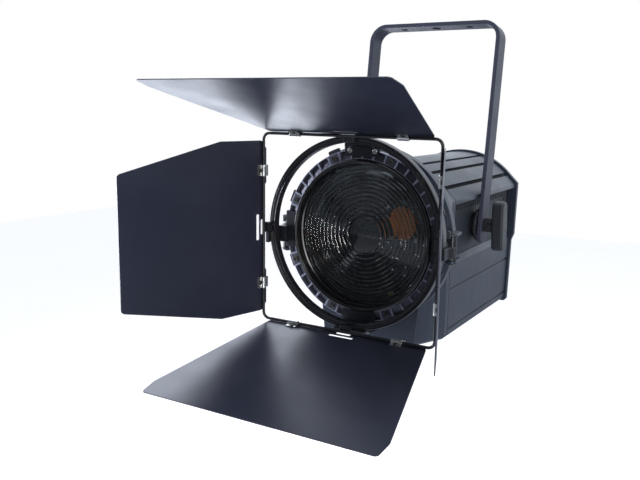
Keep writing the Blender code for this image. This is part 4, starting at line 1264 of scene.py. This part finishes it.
# ---------------------------------------------------------------- barn door
def make_accessory_ring():
    """Stepped ring and the four tabs that carry the wire."""
    profile = fillet([
        (RING_R, RING_DEPTH), (RING_R, 0.0016), (RING_R - 0.0004, 0.0), (RING_R - 0.0016, 0.0),
        (RING_R - 0.002, 0.0012), (RING_R - 0.0026, 0.0012), (RING_R - 0.003, 0.0),
        (RING_R - 0.004, 0.0), (RING_R - 0.0046, 0.001), (RING_INNER_R + 0.0014, 0.001),
        (RING_INNER_R + 0.0008, 0.0002), (RING_INNER_R, 0.001), (RING_INNER_R, RING_DEPTH),
    ], 0.0006, 4)
    tab_end = WIRE_Y + WIRE_R + GAP
    tab = fillet([
        (0.1195, 0.0005), (0.1195, tab_end), (0.1285, tab_end), (0.1285, tab_end + 0.0025),
        (0.1245, tab_end + 0.0025), (0.1245, 0.0005),
    ], 0.0006)
    piece("accessory_ring_rim", lathe("ring", profile, 224), "satin_black", HEAD,
          "barn_door", ["accessory_ring"])
    tabs = []
    for angle in SIDE_TURN.values():
        turn = spin(angle - 90.0, "Y")
        tabs.append((slab("tab", [tab], 0.014, 0.0005), turn))
    piece("accessory_ring_tabs", merged("tabs", tabs), "satin_black", HEAD, "barn_door")


def make_wire_frame():
    """Square frame of round wire with bent corners."""
    inner = WIRE_HALF - WIRE_CORNER
    points = []
    for index, (sx, sz) in enumerate(((1, 1), (-1, 1), (-1, -1), (1, -1))):
        for x, z in arc((sx * inner, sz * inner), WIRE_CORNER, 90.0 * index, 90.0 * (index + 1), 10):
            points.append((x, WIRE_Y, z))
    piece("door_wire", tube("wire", points, WIRE_R, 24, closed=True), "satin_black", HEAD,
          "barn_door", ["door_frame"], 60.0)


def leaf_loops(leaf):
    """Leaf sheet: x along the wire, y away from it; two ears reach past the wire."""
    start = LEAF_START
    half = [
        (NOTCH_HALF, NOTCH_EDGE), (NOTCH_HALF + 0.001, start), (EAR_FROM, start),
        (EAR_FROM + 0.003, -EAR_LENGTH), (EAR_TO - 0.003, -EAR_LENGTH), (EAR_TO, start),
        (leaf["hinge_half"] - 0.003, start), (leaf["hinge_half"], 0.0025),
        (leaf["knee_half"], leaf["knee"]),
        (leaf["end_half"], leaf["length"] - 0.003), (leaf["end_half"] - 0.003, leaf["length"]),
    ]
    outline = half + [(-x, y) for x, y in reversed(half)]
    slot = rectangle(-SLOT_HALF, SLOT_NEAR, SLOT_HALF, SLOT_FAR)
    return [fillet(outline, 0.002, 5), fillet(slot, 0.0015, 4)]


def clip_outline():
    """Saddle bent over the wire: x away from the wire, y inwards from the wire's axis."""
    clear = WIRE_R + GAP
    thick = 0.0012
    low = -WIRE_R
    outer_r = clear + thick
    top = low + thick
    reach = 0.0085
    meet = math.degrees(math.asin(top / outer_r))
    outer = [(-reach, top)] + arc((0, 0), outer_r, 180.0 - meet, meet, 20) + [(reach, top)]
    inner = [(reach, low), (clear, low)] + arc((0, 0), clear, 0.0, 180.0, 20)
    return outer + inner + [(-clear, low), (-reach, low)]


def make_leaf(side):
    """One leaf with its two clips and their screws, placed on the wire's axis."""
    turn = spin(SIDE_TURN[side], "Y")
    to_wire = move(0, WIRE_Y, WIRE_HALF)
    swing = Matrix.Rotation(math.pi - math.radians(LEAF_REST[side]), 4, "X")
    hinge = HEAD @ turn @ to_wire @ swing
    body = "leaf_%s_body" % side
    leaf = LARGE_LEAF if side in ("top", "bottom") else SMALL_LEAF
    sheet_z = -(WIRE_R + GAP + SHEET / 2)
    piece("leaf_%s_sheet" % side, slab("leaf", leaf_loops(leaf), SHEET, 0.0003),
          "leaf", hinge @ move(0, 0, sheet_z), body,
          ["leaf_" + side])
    saddle = slab("clip", [clip_outline()], CLIP_WIDTH, 0.00025)
    head = cross_screw(0.0029, 0.0016)
    clips = []
    screws = []
    for offset in (-CLIP_OFFSET, CLIP_OFFSET):
        clips.append((saddle, move(offset, 0, 0) @ SIDE))
        screws.append(move(offset, 0.0057, 0.0012 - WIRE_R))
    nodes = ["clip_%s_1" % side, "clip_%s_2" % side]
    piece("leaf_%s_clips" % side, merged("clips", clips), "steel", hinge, body, nodes)
    add_screws("leaf_%s_clip_screws" % side, head, screws, "dark_screw", hinge, body)


# ---------------------------------------------------------------- rear
def make_rear_panel():
    """Rear sheet with the fan's slots, four screws and openings for the controls."""
    loops = [body_outline(-0.0062)]
    for x, z in CONNECTORS.values():
        loops.append(circle((x, z), 0.0118, 40))
    for x in BUTTON_X:
        loops.append(circle((x, BUTTON_Z), 0.0048, 32))
    loops.append(circle(FUSE_XZ, 0.0068, 32))
    for index in range(FAN_SLOTS):
        level = (index - (FAN_SLOTS - 1) / 2) * FAN_SLOT_PITCH
        half = math.sqrt(FAN_HALF ** 2 - level ** 2)
        slot = rectangle(-half, FAN_Z + level - 0.003, half, FAN_Z + level + 0.003)
        loops.append(fillet(slot, 0.0028, 4))
    section_piece("rear_control_sheet", loops, PANEL_Y, PANEL_BACK_Y, "cast_black",
                  ["rear_panel"], edge=0.0003)
    head = cross_screw(0.0032, 0.0018)
    screws = []
    for x, z in ((-0.072, 0.02), (0.072, 0.02), (-0.076, -0.136), (0.076, -0.136),
                 (-0.03, 0.074), (0.03, 0.074)):
        screws.append(move(-x, z, 0) @ Matrix.Rotation(x * 40 + z, 4, "Z"))
    add_screws("rear_sheet_screws", head, screws, "dark_screw",
               HEAD @ move(0, PANEL_BACK_Y, 0) @ REAR)


def ring_of(mesh, count, radius, start=90.0):
    """Copies of a mesh spread evenly on a circle in the local x-y plane, as (mesh, matrix) pairs."""
    places = []
    for index in range(count):
        angle = math.radians(start + 360.0 * index / count)
        spot = move(radius * math.cos(angle), radius * math.sin(angle), 0)
        places.append((mesh, spot @ Matrix.Rotation(angle, 4, "Z")))
    return places


def pin_spots():
    """Places of the five contacts of a data connector."""
    spots = []
    for step in range(5):
        angle = math.radians(30.0 + 60.0 * step)
        spots.append((PIN_CIRCLE_R * math.cos(angle), PIN_CIRCLE_R * math.sin(angle)))
    return spots


def make_connector(name, x, z):
    """Square flange with two screws round a socket of the connector's own kind."""
    seat = HEAD @ move(x, PANEL_BACK_Y + GAP, z)
    plate = fillet(rectangle(-0.013, -0.0155, 0.013, 0.0155), 0.0022, 4)
    flange = slab("flange", [plate, circle((0, 0), 0.0112, 48)], 0.0026, 0.0005)
    piece(name + "_flange", flange, "plastic", seat @ move(0, 0.0013, 0) @ REAR,
          "housing", [name])
    colour = {"power_inlet": "blue_plastic", "power_outlet": "grey_plastic"}.get(name, "satin_black")
    shell = lathe("shell", [
        (0.0, -0.018), (0.011, -0.018), (0.011, 0.0028), (0.0103, 0.0036), (0.0094, 0.0036),
        (0.009, 0.003), (0.009, -0.009), (0.0, -0.009),
    ], 64, closed=False)
    parts = [shell]
    face = move(0, SOCKET_FACE_Y, 0) @ REAR
    if name.startswith("power"):
        slot = fillet(rectangle(-0.0006, -0.0017, 0.0006, 0.0017), 0.0003, 2)
        holes = []
        for angle in (90.0, 210.0, 330.0):
            turn = Matrix.Rotation(math.radians(angle - 90.0), 2)
            holes.append([tuple(turn @ Vector((px, py + 0.003))) for px, py in slot])
        core = slab("core", [circle((0, 0), 0.0056, 48)] + holes, 0.0096, 0.0004)
        key = block("key", (-0.0012, 0.007, -0.0048), (0.0012, 0.0092, 0.0048), 0.0003)
        parts += [(core, face)]
        parts += [(key, face @ spin(25.0, "Z"))]
    elif name == "dmx_out":
        holes = [circle(spot, 0.0012, 20) for spot in pin_spots()]
        insert = slab("insert", [circle((0, 0), 0.0088, 56)] + holes, 0.009, 0.0004)
        latch = block("latch", (-0.0032, 0.0092, 0.0026), (0.0032, 0.0142, 0.0072), 0.0006)
        parts += [(insert, face), (latch, face)]
    piece(name + "_socket", merged(name, parts), colour, seat, "housing")
    if name == "dmx_in":
        pin = rod("pin", 0.0011, (0, 0, -0.005), (0, 0, 0.0058), 16)
        pins = [(pin, move(x, y, 0)) for x, y in pin_spots()]
        piece("dmx_in_pins", merged("pins", pins), "steel", seat @ move(0, PIN_SEAT_Y, 0) @ REAR, "housing")
    head = cross_screw(0.0025, 0.0013)
    screws = [move(sx * 0.01, sx * 0.0123, 0) for sx in (-1, 1)]
    add_screws(name + "_screws", head, screws, "dark_screw",
               seat @ move(0, 0.0026, 0) @ REAR)


def make_controls():
    """Display in its frame, four menu buttons, the fuse cap and the safety eye."""
    seat = HEAD @ move(0, PANEL_BACK_Y + GAP, 0)
    outer = fillet([(-0.034, -0.056), (0.034, -0.056), (0.034, -0.034), (-0.034, -0.034)], 0.002, 4)
    inner = fillet([(-0.0295, -0.053), (0.0295, -0.053), (0.0295, -0.037), (-0.0295, -0.037)], 0.0008)
    piece("display_frame", slab("frame", [outer, inner], 0.0014, 0.0004), "plastic",
          seat @ move(0, 0.0007, 0) @ REAR, "housing")
    glass = [(-0.0293, -0.0528), (0.0293, -0.0528), (0.0293, -0.0372), (-0.0293, -0.0372)]
    piece("display_glass", slab("glass", [fillet(glass, 0.0007)], 0.0008, 0.0002), "screen",
          seat @ move(0, 0.0004, 0) @ REAR, "housing", ["display_window"])
    cap = fillet([
        (0.0, -0.0065), (0.006, -0.0065), (0.006, -0.005), (0.0043, -0.005), (0.0043, 0.0018),
        (0.0038, 0.0026), (0.0026, 0.0028), (0.002, 0.0024), (0.0, 0.0022),
    ], 0.0003, 3, closed=False)
    for index, x in enumerate(BUTTON_X, start=1):
        piece("menu_cap_%d" % index, lathe("cap", cap, 48, closed=False), "grey_plastic",
              HEAD @ move(x, PANEL_BACK_Y, BUTTON_Z), "button_%d_body" % index,
              ["menu_button_%d" % index])
    holder = lathe("holder", [
        (0.0, -0.015), (0.0062, -0.015), (0.0062, 0.0), (0.0085, 0.0), (0.0085, 0.0018),
        (0.008, 0.0023), (0.0, 0.0023),
    ], 48, closed=False)
    crown = slab("crown", [circle((0, 0), 0.0064, 24), rectangle(-0.0043, -0.0006, 0.0043, 0.0006)],
                 0.0044, 0.0004)
    fuse = merged("fuse", [
        holder, (crown, move(0, 0.0045, 0) @ REAR),
    ])
    piece("fuse_cap", fuse, "plastic",
          seat @ move(FUSE_XZ[0], 0, FUSE_XZ[1]), "housing",
          ["fuse_holder"])
    make_safety_eye(seat)


def make_safety_eye(seat):
    """Closed ring welded to a small screwed foot."""
    loop = [(0.0, 0.0125 + y, z) for y, z in circle((0, 0), 0.0082, 40)]
    foot = block("foot", (-0.007, 0.0, -0.009), (0.007, 0.003, 0.009), 0.0007)
    eye = merged("eye", [tube("loop", loop, 0.0022, 16, closed=True), foot])
    place = seat @ move(0, 0, EYE_Z)
    piece("safety_cable_eye", eye, "steel", place, "housing", ["safety_eye"])


# ---------------------------------------------------------------- fan
def make_fan():
    """Fan frame with its motor bridge, and the rotor."""
    front = PANEL_Y - 0.03
    back = PANEL_Y - 0.0006
    bore = FAN_HALF - 0.0015
    low = FAN_Z - FAN_HALF
    square = fillet(rectangle(-FAN_HALF, low, FAN_HALF, low + 2 * FAN_HALF), 0.004, 5)
    frame_loops = [square, circle((0, FAN_Z), bore, 96)]
    for sx in (-1, 1):
        for sz in (-1, 1):
            frame_loops.append(circle((sx * 0.0358, FAN_Z + sz * 0.0358), 0.0019, 20))
    section_piece("fan_housing", frame_loops, front, back, "plastic", ["fan_frame"],
                  edge=0.0006)
    spoke = block("spoke", (0.015, -0.0016, -0.0012), (0.0395, 0.0016, 0.0012), 0.0004)
    hub = slab("hub", [circle((0, 0), 0.0165, 64)], 0.0024, 0.0005)
    bridge = ring_of(spoke, 4, 0.0, 45.0) + [hub]
    piece("fan_motor_bridge", merged("bridge", bridge), "plastic",
          HEAD @ move(0, front + 0.0016, FAN_Z) @ SECTION, "housing")
    make_fan_rotor((front + back) / 2, bore)


def make_fan_rotor(station, bore):
    """Twisted blades on a cup-shaped hub."""
    hub = fillet([(0.0, -0.01), (0.015, -0.01), (0.016, -0.008), (0.016, 0.009),
                  (0.0148, 0.01), (0.0, 0.01)], 0.001, 3, closed=False)
    blade = mesh_from("blade", twisted_blade(0.0155, bore - 0.0022))
    turns = [(blade, Matrix.Rotation(2 * math.pi * index / FAN_BLADES, 4, "Y"))
             for index in range(FAN_BLADES)]
    rotor = merged("rotor", [lathe("hub", hub, 64, closed=False)] + turns)
    piece("fan_blades", rotor, "plastic", HEAD @ move(0, station, FAN_Z),
          "fan", ["fan_rotor"])


def twisted_blade(inner_r, outer_r):
    """Mesh builder of one cambered blade between two radii, its chord across the fan's depth."""
    def build(bm):
        rings = []
        for step in range(7):
            share = step / 6
            radius = inner_r + (outer_r - inner_r) * share
            sweep = math.radians(14.0 * share)
            half_angle = math.radians(19.0 + 5.0 * share)
            near = []
            far = []
            for part in range(9):
                along = part / 4 - 1.0
                angle = sweep + half_angle * along
                station = 0.0085 * along + 0.0016 * (1.0 - along * along)
                half_skin = 0.0007 * math.sqrt(max(1.0 - along * along, 0.04))
                for side, skin in ((near, half_skin), (far, -half_skin)):
                    side.append(bm.verts.new((radius * math.cos(angle), station + skin,
                                              radius * math.sin(angle))))
            rings.append(near + far[::-1])
        bridge(bm, rings)
        cap_ends(bm, rings)
    return build


# ---------------------------------------------------------------- inside
def make_carriage():
    """Zoom carriage plate with the LED module on its front."""
    loops = [fillet(rectangle(-0.076, -0.102, 0.076, 0.046), 0.003)]
    for x, z in ((-ROD_X, ROD_Z), (ROD_X, ROD_Z), (0.0, SCREW_Z)):
        loops.append(circle((x, z), ROD_R + GAP, 32))
    section_piece("zoom_carriage_plate", loops, CARRIAGE_Y, CARRIAGE_Y + 0.004, "baffle",
                  ["led_carriage"], "zoom_carriage")
    front = CARRIAGE_Y - GAP
    ring = fillet([(0.03, front), (0.03, front - 0.0036), (0.0286, front - 0.0044),
                   (0.0208, front - 0.0044), (0.0194, front - 0.003), (0.0194, front)], 0.0005)
    piece("led_clamp_ring", lathe("ring", ring, 96), "gloss_black", OPTICS, "zoom_carriage")
    dome = fillet([(0.0, front), (0.019, front), (0.019, front - 0.0038), (0.018, front - 0.0048),
                   (0.0, front - 0.0056)], 0.0004, 3, closed=False)
    piece("led_emitter", lathe("dome", dome, 96, closed=False), "phosphor", OPTICS,
          "zoom_carriage", ["led_module"])
    head = hex_screw(0.0022, 0.002)
    screws = merged("screws", ring_of(head, 4, 0.0248, 45.0))
    piece("led_clamp_screws", screws, "steel",
          OPTICS @ move(0, front - 0.0043, 0) @ SECTION, "zoom_carriage")


def threaded_bar(radius, depth, length, pitch, starts):
    """A rounded multi-start thread along +Y; its lead is pitch times starts."""
    sides = 40
    rows = int(length / pitch * 8)

    def build(bm):
        rings = []
        for row in range(rows + 1):
            station = length * row / rows
            fade = min(1.0, station / pitch, (length - station) / pitch)
            ring = []
            for step in range(sides):
                share = step / sides
                wave = 0.5 + 0.5 * math.cos(2 * math.pi * (station / pitch + starts * share))
                reach = radius - depth * wave * fade
                angle = 2 * math.pi * share
                ring.append(bm.verts.new((reach * math.cos(angle), station, reach * math.sin(angle))))
            rings.append(ring)
        bridge(bm, rings)
        cap_ends(bm, rings)
    return mesh_from("threaded_bar", build)


def make_drive():
    """Lead screw, its motor and the power supply."""
    start = SHELL_FRONT_Y - 0.004
    motor_front = SHELL_BACK_Y - 0.06
    thread = threaded_bar(ROD_R, 0.0006, motor_front - GAP - start, 0.0025, 4)
    piece("lead_screw_thread", thread, "brass",
          HEAD @ move(0, start, SCREW_Z), "zoom_screw", ["lead_screw"], 60.0)
    half = 0.0105
    plates = []
    for low, high, inset in ((0.0, 0.008, 0.0), (0.008, 0.028, 0.0006), (0.028, 0.036, 0.0)):
        plates.append(block("plate", (-0.021 + inset, low, -half + inset),
                            (0.021 - inset, high, half - inset), 0.001))
    piece("zoom_motor_stack", merged("motor", plates), "plastic",
          HEAD @ move(0, motor_front, SCREW_Z), "housing",
          ["zoom_motor"])
    make_power_supply()


def make_power_supply():
    """Open-sided tray under a perforated lid."""
    low_z = BASE_Z + WALL + 0.002
    holes = []
    for column in range(9):
        for row in range(15):
            holes.append(circle((-0.04 + column * 0.01, -0.07 + row * 0.01), 0.0026, 12))
    lid = slab("lid", [rectangle(-0.05, -0.09, 0.05, 0.09)] + holes, 0.0012, 0.0003)
    middle = move(0, 0.24, 0)
    tray = block("tray", (-0.05, -0.09, low_z), (0.05, 0.09, low_z + 0.004), 0.0006)
    walls = [block("wall", (x - 0.0006, -0.09, low_z), (x + 0.0006, 0.09, -0.1126), 0.0003)
             for x in (-0.0494, 0.0494)]
    parts = [(lid, middle @ move(0, 0, -0.1126)), (tray, middle)]
    parts += [(wall, middle) for wall in walls]
    piece("power_supply_case", merged("supply", parts), "aluminium", HEAD, "housing",
          ["power_supply"])


# ---------------------------------------------------------------- nodes shown as they are
KEPT = {
    "pivot_stud_left": "steel", "pivot_stud_right": "steel", "lens_gasket": "rubber",
    "guide_rod_left": "steel", "guide_rod_right": "steel", "heatsink": "aluminium",
}


def finish_kept_nodes():
    """Give the carried-over nodes their finishes."""
    for node, material in KEPT.items():
        mesh_materials = frame["nodes"][node].data.materials
        if not mesh_materials:
            mesh_materials.append(MATERIALS[material])
        for index in range(len(mesh_materials)):
            mesh_materials[index] = MATERIALS[material]


# ---------------------------------------------------------------- studio
def make_stage():
    """Pale floor well below the hung lamp; to all but camera rays it is a dimmer grey."""
    floor = bpy.data.meshes.new("floor")
    corners = rectangle(-FLOOR_HALF, -FLOOR_HALF, FLOOR_HALF, FLOOR_HALF)
    floor.from_pydata([(x, y, 0) for x, y in corners], [], [(0, 1, 2, 3)])
    material, tree, shader = node_tree("floor_paper")
    tone = remap(tree, noise(tree, coordinates(tree), 2.0, 3.0), 0.3, 0.7, 0.0, 1.0)
    base = colour_mix(tree, tone, (0.92, 0.88, 0.84), (0.94, 0.9, 0.86))
    tree.links.new(base, shader.inputs["Base Color"])
    shader.inputs["Roughness"].default_value = 0.9
    shader.inputs["Emission Color"].default_value = (1.0, 1.0, 1.0, 1.0)
    shader.inputs["Emission Strength"].default_value = 0.3
    dim = tree.nodes.new("ShaderNodeBsdfDiffuse")
    dim.inputs["Color"].default_value = (0.52, 0.53, 0.57, 1.0)
    path = tree.nodes.new("ShaderNodeLightPath")
    mix = tree.nodes.new("ShaderNodeMixShader")
    tree.links.new(path.outputs["Is Camera Ray"], mix.inputs["Fac"])
    tree.links.new(dim.outputs["BSDF"], mix.inputs[1])
    tree.links.new(shader.outputs["BSDF"], mix.inputs[2])
    tree.links.new(mix.outputs["Shader"], tree.nodes["Material Output"].inputs["Surface"])
    floor.materials.append(material)
    ground = linked("floor", floor)
    ground.location = (0, 0, FLOOR_Z)


def area_light(name, direction, distance, size, power, colour=(1.0, 1.0, 1.0)):
    """Soft rectangular light in a direction from the door's centre, aimed at it."""
    data = bpy.data.lights.new(name, "AREA")
    data.shape = "RECTANGLE"
    data.size, data.size_y = size
    data.energy = power
    data.color = colour
    light = linked(name, data)
    away = Vector(direction).normalized()
    light.matrix_world = (Matrix.Translation(DOOR_CENTRE + away * distance)
                          @ away.to_track_quat("Z", "Y").to_matrix().to_4x4())


def make_world():
    """White surround: bright behind and beside the lamp, dim on the camera's side."""
    world = bpy.data.worlds.new("studio")
    world.use_nodes = True
    tree = world.node_tree
    direction = tree.nodes.new("ShaderNodeTexCoord")
    parts = tree.nodes.new("ShaderNodeSeparateXYZ")
    tree.links.new(direction.outputs["Generated"], parts.inputs["Vector"])
    surround = tree.nodes["Background"]
    surround.inputs["Color"].default_value = (0.84, 0.91, 1.0, 1.0)
    tree.links.new(remap(tree, parts.outputs["Y"], -0.45, 0.25, 0.14, 1.3), surround.inputs["Strength"])
    backdrop = tree.nodes.new("ShaderNodeBackground")
    backdrop.inputs["Color"].default_value = (1.0, 1.0, 1.0, 1.0)
    path = tree.nodes.new("ShaderNodeLightPath")
    mix = tree.nodes.new("ShaderNodeMixShader")
    tree.links.new(path.outputs["Is Camera Ray"], mix.inputs["Fac"])
    tree.links.new(surround.outputs["Background"], mix.inputs[1])
    tree.links.new(backdrop.outputs["Background"], mix.inputs[2])
    tree.links.new(mix.outputs["Shader"], tree.nodes["World Output"].inputs["Surface"])
    bpy.context.scene.world = world


def make_lights():
    """Soft boxes: name, direction, distance, width and height, power and colour."""
    area_light("key", (0.6, -0.69, 0.02), 2.2, (0.3, 4.2), 42.0)
    area_light("right_high", (0.85, -0.62, 0.55), 2.2, (0.55, 0.55), 5.0)
    area_light("top", (0.1, 0.2, 1.0), 2.0, (1.3, 1.3), 14.0)
    area_light("left", (-0.95, -0.3, 0.05), 2.2, (0.5, 1.2), 72.0, (0.84, 0.87, 1.0))
    area_light("left_back_high", (-0.74, 0.56, 0.6), 2.2, (1.2, 1.05), 15.5, (0.82, 0.88, 1.0))
    area_light("left_back_low", (-0.67, 0.67, -0.37), 1.9, (1.6, 0.55), 11.5, (0.84, 0.9, 1.0))


def make_camera():
    """The viewpoint: slightly above, to the lamp's front right."""
    azimuth = math.radians(VIEW_AZIMUTH)
    elevation = math.radians(VIEW_ELEVATION)
    roll = math.radians(VIEW_ROLL)
    target = DOOR_CENTRE + Vector(VIEW_TARGET)
    back = Vector((math.sin(azimuth) * math.cos(elevation), -math.cos(azimuth) * math.cos(elevation),
                   math.sin(elevation)))
    right = (-back).cross(Vector((0, 0, 1))).normalized()
    up = right.cross(-back)
    across = right * math.cos(roll) + up * math.sin(roll)
    upwards = -right * math.sin(roll) + up * math.cos(roll)
    turn = Matrix((across, upwards, back)).transposed().to_4x4()
    data = bpy.data.cameras.new("camera")
    data.lens = VIEW_LENS_MM
    data.sensor_width = 36.0
    camera = linked("camera", data)
    camera.matrix_world = Matrix.Translation(target + back * VIEW_DISTANCE) @ turn
    bpy.context.scene.camera = camera


def make_lamp():
    make_yoke()
    for side, sign in (("left", -1), ("right", 1)):
        make_pivot(side, sign)
    make_shells()
    make_front_casting()
    make_rear_cap()
    make_bezel()
    make_optics()
    make_side_holder("left", turn_degrees=180.0, up=-1, barrel_z=0.008, hook_height=0.022)
    make_side_holder("right", turn_degrees=0.0, up=1, barrel_z=0.001, hook_height=0.014)
    make_bottom_holder()
    make_base_plates()
    make_top_latch()
    make_accessory_ring()
    make_wire_frame()
    for side in SIDE_TURN:
        make_leaf(side)
    make_rear_panel()
    for name, (x, z) in CONNECTORS.items():
        make_connector(name, x, z)
    make_controls()
    make_fan()
    make_carriage()
    make_drive()
    finish_kept_nodes()


make_lamp()
make_stage()
make_world()
make_lights()
make_camera()
bpy.context.scene.view_settings.view_transform = "Standard"
